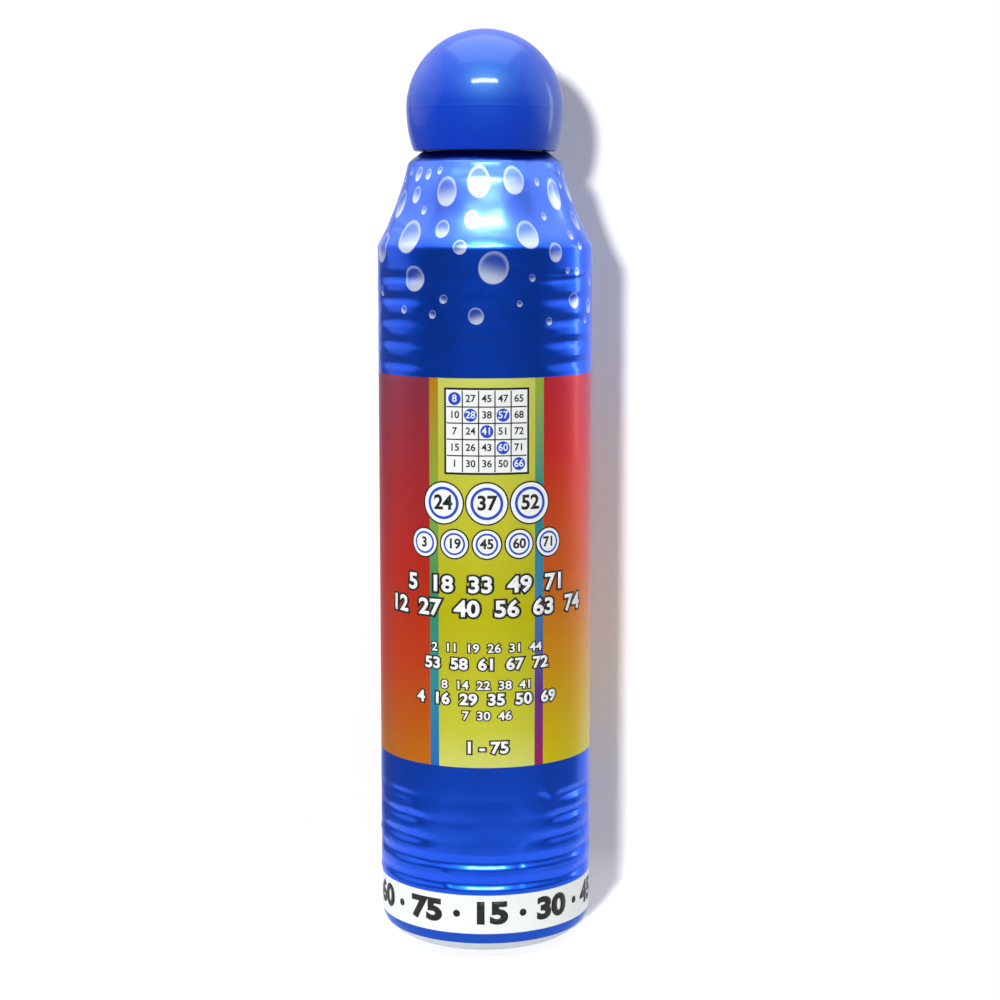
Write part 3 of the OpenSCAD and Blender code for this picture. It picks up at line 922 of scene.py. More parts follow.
@dataclass(frozen=True)
class BubbleField:
    """Bubbles scattered over the shoulder and thinning out down the upper grip.

    Batches holds a count and the least and greatest half width, the biggest bubbles first.
    """

    batches: tuple[tuple[int, float, float], ...] = ((18, 2.0, 2.75), (22, 1.15, 1.55), (60, 0.5, 0.8))
    crowding: float = 2.5
    tallest: float = 1.2
    lean: float = 0.5
    gap: float = 0.5
    top: float = 131.0
    foot: float = 104.0
    spare: float = 1.12
    reach: float = 1.25
    nowhere: float = 9.0
    seed: int = 30

    def scatter(self) -> list[Bubble]:
        """Throws the bubbles one by one, biggest first, where none lies yet.

        Returns:
            The bubbles.
        """
        dice = random.Random(self.seed)
        half_turn = math.pi * FILM.outer_r
        found: list[Bubble] = []
        for count, low, high in self.batches:
            wanted = len(found) + count
            while len(found) < wanted:
                size = dice.uniform(low, high)
                drop = dice.random() ** self.crowding
                spot = Bubble(around=dice.uniform(-half_turn, half_turn),
                              up=self.top - size - drop * (self.top - self.foot - 2 * size), wide=size,
                              tall=size * dice.uniform(1.0, self.tallest),
                              lean=dice.uniform(-self.lean, self.lean))
                if all(self.clear_of(spot, other) for other in found):
                    found.append(spot)
        return found

    def clear_of(self, one: Bubble, other: Bubble) -> bool:
        """Whether two bubbles leave film between them."""
        half_turn = math.pi * FILM.outer_r
        round_it = (one.around - other.around + half_turn) % (2 * half_turn) - half_turn
        least = self.spare * (one.tall + other.tall) + self.gap
        return math.hypot(round_it, one.up - other.up) > least

    def mark(self, film: Piece) -> None:
        """Gives each face of the film its place in the bubble it lies in, as a UV map.

        Args:
            film: The film, whose faces all have four corners.
        """
        points = Workbench.coordinates(film)
        corners = Workbench.face_corners(film)
        span = math.tau * FILM.outer_r
        around = (Workbench.from_axis(points)[1] * FILM.outer_r)[corners].reshape(-1, 4)
        first = around[:, :1]
        around = first + (around - first + span / 2) % span - span / 2
        up = points[:, 2][corners].reshape(-1, 4)
        local = np.full((*around.shape, 2), self.nowhere)
        nearest = np.full(len(around), self.reach)
        for bubble in self.scatter():
            across = around - bubble.around
            across -= span * np.round(across.mean(axis=1, keepdims=True) / span)
            rise = up - bubble.up
            cos, sin = math.cos(bubble.lean), math.sin(bubble.lean)
            spot = np.stack([(across * cos + rise * sin) / bubble.wide,
                             (rise * cos - across * sin) / bubble.tall], axis=-1)
            distance = np.hypot(*spot.mean(axis=1).T)
            inside = distance < nearest
            nearest[inside] = distance[inside]
            local[inside] = spot[inside]
        Workbench.corner_map(film, "bubble", local)


@dataclass(frozen=True)
class PrintForm:
    """Layout of the print on the unrolled film, in millimetres, its colours and its shine.

    A colour is a hex code. A bubble's edge, rim and low spans are shares of its size, and its
    hollow and ring hold how much its white grows towards its foot, and its least. Metal, rough
    and coat are the bare film's, and a name that goes on with bubble, haze, label, band or dull
    is what that adds to it. Ripple_band is added to the ripple's height as a share of it.
    """

    label_foot: float = 32.6
    label_top: float = 97.0
    middle: float = 0.28
    stripe_half: float = 8.18
    edge_half: float = 9.8
    band_foot: float = 4.2
    band_top: float = 10.8
    # Painted shade: a dark blue band round the film's top under the cap, with a wavy lower edge.
    rim_foot: float = 132.6
    rim_top: float = 133.4
    rim_wave: float = 2.0
    # Painted sheen: from here up the shoulder is printed a paler blue, standing in for light from
    # above.
    shoulder_foot: float = 117.4
    shoulder_top: float = 120.4
    hair: float = 0.05
    edge: float = 0.06
    back_turn: Span = (40.0, 46.0)
    bubble_edge: Span = (1.03, 0.9)
    bubble_rim: Span = (0.62, 0.95)
    bubble_low: Span = (0.5, -0.8)
    bubble_hollow: Span = (0.72, 0.06)
    bubble_ring: Span = (0.35, 0.5)
    clouding: float = 0.35
    metal: float = 0.88
    metal_bubble: float = -0.7
    metal_label: float = -0.45
    metal_band: float = -0.8
    rough: float = 0.28
    rough_haze: float = 0.07
    rough_label: float = 0.06
    ripple: float = 0.025
    ripple_stretch: tuple[float, float, float] = (1.0, 1.0, 0.45)
    ripple_band: float = -0.85
    coat: float = 0.26
    coat_dull: float = -0.2
    coat_rough: float = 0.1
    shine: float = 0.3
    blue: str = "1253de"
    cloud_blue: str = "0c45c8"
    # Painted sheen on the shoulder.
    shoulder_blue: str = "4569d7"
    # Painted shade under the cap.
    rim_blue: str = "04186a"
    # The foot stripe's printed blue, made darker than the film as painted shade.
    foot_blue: str = "0a46b0"
    bubble: str = "e4ecf4"
    gloss: str = "bad0ff"
    band: str = "dde1da"
    left_field: tuple[tuple[float, str], ...] = (
        (0.0, "ca7206"), (0.25, "d04616"), (0.5, "cc301a"), (0.8, "b03036"), (1.0, "98384a"))
    right_field: tuple[tuple[float, str], ...] = (
        (0.0, "dac808"), (0.22, "dca40a"), (0.5, "dc6418"), (0.8, "da3424"), (1.0, "cc2c38"))
    stripe: tuple[tuple[float, str], ...] = (
        (0.0, "dce070"), (0.1, "d4d43c"), (0.4, "cac60a"), (0.7, "d8d83c"), (1.0, "e0e66c"))
    left_edge: tuple[tuple[float, str], ...] = (
        (0.0, "3070c0"), (0.25, "30a0a0"), (0.45, "409c68"), (0.7, "98c448"), (1.0, "cc8c18"))
    right_edge: tuple[tuple[float, str], ...] = (
        (0.0, "a4205c"), (0.2, "683c98"), (0.45, "4890c0"), (0.7, "2c9c94"), (1.0, "acc440"))


class FilmPrint:
    """Builds the film's material: metallic blue, bubbles, the label's fields, the white band, a painted
    sheen on the shoulder and painted shade under the cap.
    """

    def __init__(self, form: PrintForm) -> None:
        """Takes the layout."""
        self.form = form

    def bubbles(self, wiring: Wiring) -> Socket:
        """Draws the bubbles from the film's own bubble map, each whiter at its rim and low down.

        Args:
            wiring: Wiring of the film's material.

        Returns:
            How much white lies on the blue.
        """
        spot = wiring.add("UVMap", uv_map="bubble").outputs[0]
        axes = wiring.add("SeparateXYZ", {0: spot})
        distance = wiring.add("VectorMath", {0: spot}, operation="LENGTH").outputs["Value"]
        inside = wiring.step(distance, *self.form.bubble_edge)
        rim = wiring.step(distance, *self.form.bubble_rim)
        low = wiring.step(axes.outputs[1], *self.form.bubble_low)
        hollow = wiring.math("MULTIPLY_ADD", low, *self.form.bubble_hollow)
        edge = wiring.math("MULTIPLY", rim, wiring.math("MULTIPLY_ADD", low, *self.form.bubble_ring))
        return wiring.math("MULTIPLY", wiring.math("MAXIMUM", hollow, edge), inside, clamp=True)

    def label(self, wiring: Wiring, around: Socket, up: Socket) -> Socket:
        """Colours of the label's side fields and its striped middle.

        Args:
            wiring: Wiring of the film's material.
            around: Distance round the film.
            up: Height.

        Returns:
            The colour.
        """
        form, hair = self.form, self.form.hair
        share = wiring.math("DIVIDE", wiring.math("SUBTRACT", up, form.label_foot),
                            form.label_top - form.label_foot)
        offset = wiring.math("SUBTRACT", around, form.middle)
        right = wiring.step(offset, -2 * hair, 2 * hair)
        away = wiring.math("ABSOLUTE", offset)
        ramps = (form.left_field, form.right_field, form.left_edge, form.right_edge, form.stripe)
        left_field, right_field, left_edge, right_edge, stripe = (wiring.ramp(share, r) for r in ramps)
        colour = wiring.mix(right, left_field, right_field)
        colour = wiring.mix(wiring.step(away, *form.back_turn), colour, left_field)
        edges = wiring.mix(right, left_edge, right_edge)
        for half, inner in ((form.edge_half, edges), (form.stripe_half, stripe)):
            colour = wiring.mix(wiring.step(away, half + hair, half - hair), colour, inner)
        return colour

    def material(self) -> Material:
        """Builds the film's material.

        Returns:
            The material.
        """
        form = self.form
        made, wiring, shader = new_material("printed_shrink_film")
        wrap = wiring.add("Group", node_tree=bpy.data.node_groups["unrolled_side"])
        around, up = wrap.outputs["Around"], wrap.outputs["Up"]
        place = wiring.place()
        clouds = wiring.noise(place, 90, detail=2)
        # Mask of the painted shade band under the cap, its lower edge waved by the clouds.
        waved = wiring.math("MULTIPLY_ADD", clouds, form.rim_wave, up)
        rim = wiring.step(waved, form.rim_foot, form.rim_top)
        white = self.bubbles(wiring)
        on_label = wiring.within(up, form.label_foot, form.label_top, form.edge)
        on_band = wiring.within(up, form.band_foot, form.band_top, form.edge)
        colour = tint(form.blue)
        # Layers: random clouds, the foot stripe darkened as painted shade, painted sheen on the
        # shoulder, painted shade under the cap, bubbles, label and band.
        for share, over in (
                (wiring.math("MULTIPLY", clouds, form.clouding), tint(form.cloud_blue)),
                (wiring.step(up, form.band_top, form.band_foot), tint(form.foot_blue)),
                (wiring.step(up, form.shoulder_foot, form.shoulder_top), tint(form.shoulder_blue)),
                (rim, tint(form.rim_blue)),
                (white, tint(form.bubble)),
                (on_label, self.label(wiring, around, up)),
                (on_band, tint(form.band))):
            colour = wiring.mix(share, colour, over)
        metal = wiring.math("MULTIPLY_ADD", white, form.metal_bubble, form.metal)
        metal = wiring.math("MULTIPLY_ADD", on_label, form.metal_label, metal, clamp=True)
        metal = wiring.math("MULTIPLY_ADD", on_band, form.metal_band, metal, clamp=True)
        rough = wiring.math("MULTIPLY_ADD", wiring.noise(place, 400), form.rough_haze, form.rough)
        rough = wiring.math("MULTIPLY_ADD", on_label, form.rough_label, rough)
        calm = wiring.math("MULTIPLY_ADD", on_band, form.ripple_band, 1.0)
        ripple = wiring.noise(wiring.place(Vector(form.ripple_stretch)), 170, detail=2, rough=0.4)
        # Less coat on the label and on the painted shade band under the cap.
        dull = wiring.math("MAXIMUM", on_label, rim)
        wiring.fill(shader, {
            "Base Color": colour, "Metallic": metal, "Roughness": rough,
            "Normal": wiring.bump(wiring.math("MULTIPLY", ripple, calm), form.ripple),
            "Specular Tint": tint(form.gloss), "Specular IOR Level": form.shine,
            "Coat Weight": wiring.math("MULTIPLY_ADD", dull, form.coat_dull, form.coat),
            "Coat Roughness": form.coat_rough})
        return made


# Printed marks


class Ink(Enum):
    """Inks of the marks that are printed over the label, with their hex codes."""

    BLACK = "101214"
    WHITE = "f2f4f2"
    BLUE = "1c46c8"


@dataclass(frozen=True)
class MarkRow:
    """One centred row of numbers: its height, text, type size and boldness."""

    up: float
    text: str
    size: float
    weight: float


@dataclass(frozen=True)
class MarkForm:
    """Sizes of the printed marks, in millimetres on the unrolled film.

    A type, a daub, a ring or an outline is a share of what it belongs to, and so is a weight.
    """

    thickness: float = 0.012
    layer: float = 0.014
    grid: float = 0.9
    middle: float = 0.28
    card_up: float = 88.4
    card_cells: int = 5
    card_cell: float = 2.65
    card_line: float = 0.2
    card_frame: float = 0.9
    card_margin: float = 0.2
    card_type: float = 0.62
    card_weight: float = 0.02
    card_seed: int = 75
    per_column: int = 15
    daub: float = 0.4
    daubed: tuple[tuple[int, int], ...] = ((0, 0), (1, 1), (2, 2), (3, 3), (4, 4), (3, 1))
    outline: float = 0.09
    stretch: float = 1.15
    big_balls: tuple[str, ...] = ("24", "37", "52")
    big_ball: tuple[float, float, float] = (76.6, 3.35, 7.3)
    small_balls: tuple[str, ...] = ("3", "19", "45", "60", "71")
    small_ball: tuple[float, float, float] = (69.9, 2.3, 5.4)
    ball_line: float = 0.25
    ball_ring: Span = (0.8, 0.66)
    ball_type: float = 0.98
    ball_weight: float = 0.03
    rows: tuple[MarkRow, ...] = (
        MarkRow(63.1, "5  18  33  49  71", 3.7, 0.03),
        MarkRow(59.1, "12  27  40  56  63  74", 3.7, 0.03),
        MarkRow(52.6, "2  11  19  26  31  44", 2.0, 0.02),
        MarkRow(49.9, "53  58  61  67  72", 2.6, 0.035),
        MarkRow(46.4, "8  14  22  38  41", 2.0, 0.02),
        MarkRow(44.0, "4  16  29  35  50  69", 2.6, 0.035),
        MarkRow(41.3, "7  30  46", 2.0, 0.02),
        MarkRow(35.9, "1 - 75", 2.7, 0.035),
    )
    band_up: float = 7.6
    band_size: float = 5.0
    band_weight: float = 0.055
    band_stretch: float = 1.25
    band_dot: float = 0.62
    band_shift: float = 4.9
    band_numbers: tuple[str, ...] = ("15", "30", "45", "60", "75")


class Marks:
    """Cuts the generic marks, numbers, balls and dots, out of thin ink and wraps them on the film."""

    def __init__(self, form: MarkForm) -> None:
        """Takes the sizes and starts with no mark cut."""
        self.form = form
        self.cut: dict[Ink, list[Piece]] = {ink: [] for ink in Ink}

    def lay(self, flat: Piece, ink: Ink, layer: int) -> None:
        """Finishes one flat mark: cut on a grid, wrapped round the film and given its thickness.

        Args:
            flat: Flat mesh, whose X is round the film and whose Y is up it.
            ink: Its ink.
            layer: Layer that it lies in, from 1 up.
        """
        Workbench.pick(flat)
        bpy.ops.object.transform_apply(location=True, rotation=True, scale=True)
        low = np.array(flat.bound_box).min(axis=0) / MM
        high = np.array(flat.bound_box).max(axis=0) / MM
        bpy.ops.object.mode_set(mode="EDIT")
        for axis in (0, 1):
            normal = Vector((1, 0, 0)) if axis == 0 else Vector((0, 1, 0))
            for place in spaced(low[axis], high[axis], self.form.grid)[1:]:
                bpy.ops.mesh.select_all(action="SELECT")
                bpy.ops.mesh.bisect(plane_co=normal * place * MM, plane_no=normal)
        bpy.ops.object.mode_set(mode="OBJECT")
        points = Workbench.coordinates(flat)
        angle, up = points[:, 0] / FILM.outer_r, points[:, 1]
        radius = FILM.skin_radius(up) + FILM.relief(angle, up) + layer * self.form.layer
        Workbench.reshape(flat, Workbench.round_axis(radius, angle, up))
        skin = flat.modifiers.new("thickness", "SOLIDIFY")
        skin.thickness = self.form.thickness * MM
        skin.offset = -1
        bpy.ops.object.modifier_apply(modifier=skin.name)
        self.cut[ink].append(flat)

    def number(self, text: str, middle: Point, size: float, ink: Ink, layer: int,
               weight: float = 0.0, stretch: float = 1.0, edge: float = 0.0) -> None:
        """Sets a number in plain figures.

        Args:
            text: The figures.
            middle: Place of its middle on the unrolled film.
            size: Height of the type.
            ink: Its ink.
            layer: Layer that it lies in.
            weight: How much bolder each figure is, as a share of the size.
            stretch: How much wider than usual it is.
            edge: Width of a strip laid on all round it, as a share of the size.
        """
        Workbench.clear()
        bpy.ops.object.text_add(location=(middle[0] * MM, middle[1] * MM, 0))
        mark = bpy.context.object
        mark.scale.x = stretch
        figures = mark.data
        figures.body = text
        figures.size = size * MM
        figures.align_x = figures.align_y = "CENTER"
        figures.fill_mode = "FRONT"
        figures.offset = weight * size * MM
        figures.bevel_depth = edge * size * MM
        figures.bevel_resolution = 0
        figures.resolution_u = 4
        bpy.ops.object.convert(target="MESH")
        self.lay(bpy.context.object, ink, layer)

    def disc(self, middle: Point, radius: float, ink: Ink, layer: int, corners: int = 40) -> None:
        """Cuts a round spot."""
        Workbench.clear()
        bpy.ops.mesh.primitive_circle_add(vertices=corners, radius=radius * MM, fill_type="NGON",
                                          location=(middle[0] * MM, middle[1] * MM, 0))
        self.lay(bpy.context.object, ink, layer)

    def bar(self, middle: Point, wide: float, tall: float, ink: Ink, layer: int) -> None:
        """Cuts a straight-sided patch."""
        Workbench.clear()
        bpy.ops.mesh.primitive_plane_add(size=MM, location=(middle[0] * MM, middle[1] * MM, 0))
        bpy.context.object.scale = (wide, tall, 1)
        self.lay(bpy.context.object, ink, layer)

    def card(self) -> None:
        """Lays out the square card: white cells, lines, numbers and a few daubed cells."""
        form = self.form
        cells, cell = form.card_cells, form.card_cell
        wide = cells * cell
        x0, z0 = form.middle, form.card_up
        for layer, extra, ink in ((1, form.card_frame, Ink.BLACK), (2, form.card_margin, Ink.WHITE)):
            self.bar((x0, z0), wide + extra, wide + extra, ink, layer)
        dice = random.Random(form.card_seed)
        for column in range(cells):
            x = x0 + (column - (cells - 1) / 2) * cell
            first = column * form.per_column + 1
            numbers = dice.sample(range(first, first + form.per_column), cells)
            for row in range(cells):
                z = z0 + ((cells - 1) / 2 - row) * cell
                ink = Ink.BLACK
                if (column, row) in form.daubed:
                    self.disc((x, z), cell * form.daub, Ink.BLUE, 3, corners=28)
                    ink = Ink.WHITE
                self.number(str(numbers[row]), (x, z), cell * form.card_type, ink, 4, form.card_weight)
            if column:
                self.bar((x - cell / 2, z0), form.card_line, wide, Ink.BLACK, 3)
                self.bar((x0, z0 + (column - cells / 2) * cell), wide, form.card_line, Ink.BLACK, 3)

    def balls(self, texts: Sequence[str], place: tuple[float, float, float]) -> None:
        """Lays out a row of numbered balls.

        Args:
            texts: Their numbers.
            place: Height of the row, radius of a ball and distance between two.
        """
        form = self.form
        up, radius, pitch = place
        discs = ((radius + form.ball_line, Ink.BLACK), (radius, Ink.WHITE),
                 (radius * form.ball_ring[0], Ink.BLUE), (radius * form.ball_ring[1], Ink.WHITE))
        for i, text in enumerate(texts):
            middle = (form.middle + (i - (len(texts) - 1) / 2) * pitch, up)
            for layer, (reach, ink) in enumerate(discs, start=1):
                self.disc(middle, reach, ink, layer)
            self.number(text, middle, radius * form.ball_type, Ink.BLACK, 5, form.ball_weight)

    def rows(self) -> None:
        """Lays out the rows of white numbers, each over its black outline."""
        form = self.form
        for row in form.rows:
            middle = (form.middle, row.up)
            for ink, layer, edge in ((Ink.BLACK, 1, form.outline), (Ink.WHITE, 3, 0.0)):
                self.number(row.text, middle, row.size, ink, layer, row.weight, form.stretch, edge)

    def band(self) -> None:
        """Lays out the bold numbers and dots round the white band."""
        form = self.form
        count = 2 * len(form.band_numbers)
        pitch = math.tau * FILM.outer_r / count
        for i in range(count):
            around = (i - count / 2 + 0.5) * pitch - form.band_shift
            text = form.band_numbers[i % len(form.band_numbers)]
            self.number(text, (around, form.band_up), form.band_size, Ink.BLACK, 1,
                        form.band_weight, form.band_stretch)
            self.disc((around + pitch / 2, form.band_up), form.band_dot, Ink.BLACK, 1, corners=24)

    def build(self) -> None:
        """Cuts every mark and joins those of one ink into one piece."""
        self.card()
        self.balls(self.form.big_balls, self.form.big_ball)
        self.balls(self.form.small_balls, self.form.small_ball)
        self.rows()
        self.band()
        for ink, parts in self.cut.items():
            piece = Workbench.joined(f"print_{ink.name.lower()}", parts)
            finish = SolidFinish(f"ink_{ink.name.lower()}", ink.value, rough=0.5, shade=0.12,
                                 scuff=0.1, gloss=0.3)
            seat(piece, Body.BOTTLE, Slot.SLEEVE, finish.material())


# Sub-assemblies


@dataclass(frozen=True)
class ThreadForm:
    """The neck's screw thread and the cap's matching one, in millimetres."""

    lead: float = 4.0
    turns: float = 1.3
    start_z: float = 134.7
    steps: int = 72
    fade: float = 0.12
    neck_crest_r: float = 10.25
    cap_root_r: float = 10.5
    cap_crest_r: float = 9.85
    bury: float = 0.3
    foot_half: float = 0.75
    crest_half: float = 0.3

    def ridge(self, name: str, root: float, crest: float, middle: float) -> Piece:
        """Winds one ridge, which runs out at both ends.

        Args:
            name: Name of the piece.
            root: Radius where it stands on its wall.
            crest: Radius of its top.
            middle: Height of its middle at the start.

        Returns:
            The ridge.
        """
        buried = root - self.bury if crest > root else root + self.bury
        flank = [(buried, self.foot_half), (root, self.foot_half), (crest, self.crest_half)]
        section = [(r, middle - half) for r, half in flank]
        section += [(r, middle + half) for r, half in reversed(flank)]
        piece = Workbench.wound(name, section, self.turns, self.lead, self.steps)
        points = Workbench.coordinates(piece)
        count = len(section)
        share = np.arange(len(points)) // count / (len(points) // count - 1)
        height = softened(np.minimum(share, 1 - share), 0, self.fade)
        radius, angle = Workbench.from_axis(points)
        proud = (radius - root) * (crest - root) > 0
        radius = np.where(proud, root + (radius - root) * height, radius)
        Workbench.reshape(piece, Workbench.round_axis(radius, angle, points[:, 2]))
        return Workbench.plugged(piece, 35)


THREAD = ThreadForm()


@dataclass
class Shell:
    """The bottle, its thread, the film round it and the print on the film, in millimetres."""

    sides: int = 160
    lip_edge: float = 0.15
    seam_h: float = 0.04
    seam_w: float = 0.2
    pinch_h: float = 0.22
    pinch_w: float = 0.45
    pinch_end: Span = (8.5, 10.5)
    near: float = 0.05
    finish: SolidFinish = field(default_factory=lambda: SolidFinish(
        "blown_polyethylene", "b8bfc4", rough=0.38, shade=0.12, scuff=0.12, grain=1800,
        depth=0.01, inner_light=0.25))

    def inside(self) -> list[Point]:
        """Inner outline of the bottle, from the lip down to the axis."""
        form = SHELL
        wall = (form.base(20) + form.corner(-math.pi / 2, 10) + form.side(0.6, 6, form.groove_depth)
                + form.shoulder(10))
        high = form.high_angle
        top = form.top_r - form.wall * (math.cos(high) - (1 - math.sin(high)) * math.tan(high))
        z = (form.ledge_z + form.lip_z) / 2
        bore, chamfer = form.bore_r, form.mouth_chamfer
        snap = [(bore, z - form.snap_l / 2), (bore + form.snap_h, z - form.snap_l / 6),
                (bore + form.snap_h, z + form.snap_l / 6), (bore, z + form.snap_l / 2)]
        neck = [(top, form.ledge_z - form.wall), (bore, form.ledge_z - form.wall), *snap,
                (bore, form.lip_z - chamfer), (bore + chamfer, form.lip_z)]
        return (moved_out(wall, -form.wall) + neck)[::-1]

    def outside(self) -> list[Point]:
        """Outer outline of the bottle, from the axis up to the lip."""
        form = SHELL
        wall = (form.base(28) + form.corner(-math.pi / 2, 14) + form.side(0.45, 5, form.groove_depth)
                + form.shoulder(12) + form.neck_foot(5))
        lip = [(form.neck_r, form.ring_top_z), (form.neck_r, form.lip_z - self.lip_edge),
               (form.neck_r - self.lip_edge, form.lip_z)]
        return moved_out(wall, 0) + lip

    def bottle(self) -> None:
        """Blows the bottle, with its mould's parting lines and the pinch-off across its base."""
        piece = Workbench.turned("bottle_shell", self.outside() + self.inside(), self.sides)
        points = Workbench.coordinates(piece)
        radius, _ = Workbench.from_axis(points)
        up, off_line = points[:, 2], np.abs(points[:, 1])
        pushup_r = SHELL.body_r - SHELL.corner_r - SHELL.standing_w
        floor = SHELL.pushup_h * (1 - (radius / pushup_r) ** 2)
        outer = (radius < pushup_r - 2 * self.near) & (np.abs(up - floor) < self.near)
        pinch = self.pinch_h * (1 - softened(radius, *self.pinch_end))
        neck = (radius > SHELL.neck_r - self.near) & (up > SHELL.ring_top_z - self.near)
        ridge = np.where(neck, self.seam_h * np.exp(-(off_line / self.seam_w) ** 2), 0)
        points[:, 2] -= np.where(outer, pinch * np.exp(-(off_line / self.pinch_w) ** 2), 0)
        points[:, 0] += np.sign(points[:, 0]) * ridge
        Workbench.reshape(piece, points)
        seat(piece, Body.BOTTLE, Slot.BOTTLE, self.finish.material(), "bottle")

    def film(self) -> None:
        """Shrinks the film onto the bottle and gives it its print."""
        piece = Workbench.turned("printed_film", FILM.outline(), FILM.sides, closed=True, sharp=60)
        points = Workbench.coordinates(piece)
        _, angle = Workbench.from_axis(points)
        lift = FILM.relief(angle, points[:, 2])
        tilt = FILM.tilt(points[:, 2])
        Workbench.reshape(piece, points + Workbench.round_axis(lift * np.cos(tilt), angle,
                                                               lift * np.sin(tilt)))
        BubbleField().mark(piece)
        seat(piece, Body.BOTTLE, Slot.SLEEVE, FilmPrint(PrintForm()).material(), "shrink_sleeve")

    def build(self) -> None:
        """Builds the whole shell."""
        self.bottle()
        self.film()
        Marks(MarkForm()).build()
        thread = THREAD.ridge("neck_thread", SHELL.neck_r, THREAD.neck_crest_r, THREAD.start_z)
        seat(thread, Body.BOTTLE, Slot.BOTTLE, self.finish.material())


@dataclass
class Applicator:
    """The valve and its housing: CAD nodes with their finishes, and the wound spring.

    Sizes are in millimetres.
    """

    coil_r: float = 2.4
    wire_r: float = 0.2
    turns: float = 4.0
    floor_z: float = 131.15
    length: float = 5.2
    travel: float = 1.8
    wire_sides: int = 14
    steps: int = 56

    def spring(self) -> None:
        """Winds the spring, which is squeezed as the tip is pressed."""
        wire = arc((self.coil_r, self.floor_z + self.wire_r), self.wire_r, 0, math.tau, self.wire_sides)
        section = moved_out(wire[:-1], 0)
        lead = (self.length - 2 * self.wire_r) / self.turns
        piece = Workbench.wound("return_spring", section, self.turns, lead, self.steps)
        Workbench.plugged(piece, 50)
        finish = SolidFinish("spring_wire", "c2c4c6", rough=0.29, shade=0.25, scuff=0.1,
                             grain=6000, depth=0.002, metallic=1.0)
        seat(piece, Body.BOTTLE, Slot.SPRING, finish.material(), "valve_spring")
        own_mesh(piece)

    def build(self) -> None:
        """Builds the spring and finishes the CAD nodes of the valve."""
        self.spring()
        white = SolidFinish("white_polypropylene", "e9ebe8", rough=0.32, shade=0.1, depth=0.003,
                            inner_light=0.1)
        natural = SolidFinish("natural_acetal", "e4dfcf", rough=0.28, shade=0.14, depth=0.002)
        rubber = SolidFinish("black_rubber", "2b2b2d", rough=0.62, shade=0.4, scuff=0.2, grain=4000,
                             depth=0.006)
        stained = SolidFinish("ink_stained_polypropylene", "c9d3ea", rough=0.3, shade=0.35, depth=0.003)
        for node, finish in (("applicator_housing", white), ("spring_cage", white),
                             ("valve_poppet", natural), ("valve_washer", rubber),
                             ("tip_holder", stained), ("cloth_ring", stained)):
            dress(node, finish.material())


@dataclass(frozen=True)
class ClothFinish:
    """Woven cloth soaked with ink, drawn from the cloth's own flat map."""

    thread: float = 0.42
    relief: float = 0.08
    soaked_from: float = 7.0
    soaked_to: float = 12.5
    dry: str = "8fa6e6"
    wet: str = "1230b4"
    gap: str = "0a1a66"

    def material(self) -> Material:
        """Builds the cloth's material.

        Returns:
            The material.
        """
        made, wiring, shader = new_material("soaked_cloth")
        flat = wiring.add("UVMap", uv_map="weave").outputs[0]
        axes = wiring.add("SeparateXYZ", {0: flat})
        waves = []
        for axis in (0, 1):
            turn = wiring.math("MULTIPLY", axes.outputs[axis], math.pi / self.thread)
            crown = wiring.math("ABSOLUTE", wiring.math("COSINE", turn))
            waves.append((wiring.math("SINE", turn), crown))
        over = wiring.step(wiring.math("MULTIPLY", waves[0][0], waves[1][0]), -0.05, 0.05)
        under = wiring.math("SUBTRACT", 1.0, over)
        height = wiring.math("ADD", wiring.math("MULTIPLY", over, waves[0][1]),
                             wiring.math("MULTIPLY", under, waves[1][1]))
        distance = wiring.add("VectorMath", {0: flat}, operation="LENGTH").outputs["Value"]
        edge = wiring.math("MULTIPLY_ADD", wiring.noise(wiring.place(), 500), 3.0, distance)
        soak = wiring.step(edge, self.soaked_to, self.soaked_from)
        colour = wiring.mix(soak, tint(self.dry), tint(self.wet))
        wiring.fill(shader, {
            "Base Color": wiring.mix(wiring.step(height, 0.6, 0.0), colour, tint(self.gap)),
            "Roughness": wiring.math("MULTIPLY_ADD", soak, -0.3, 0.85),
            "Normal": wiring.bump(height, self.relief), "Sheen Weight": 0.25})
        return made


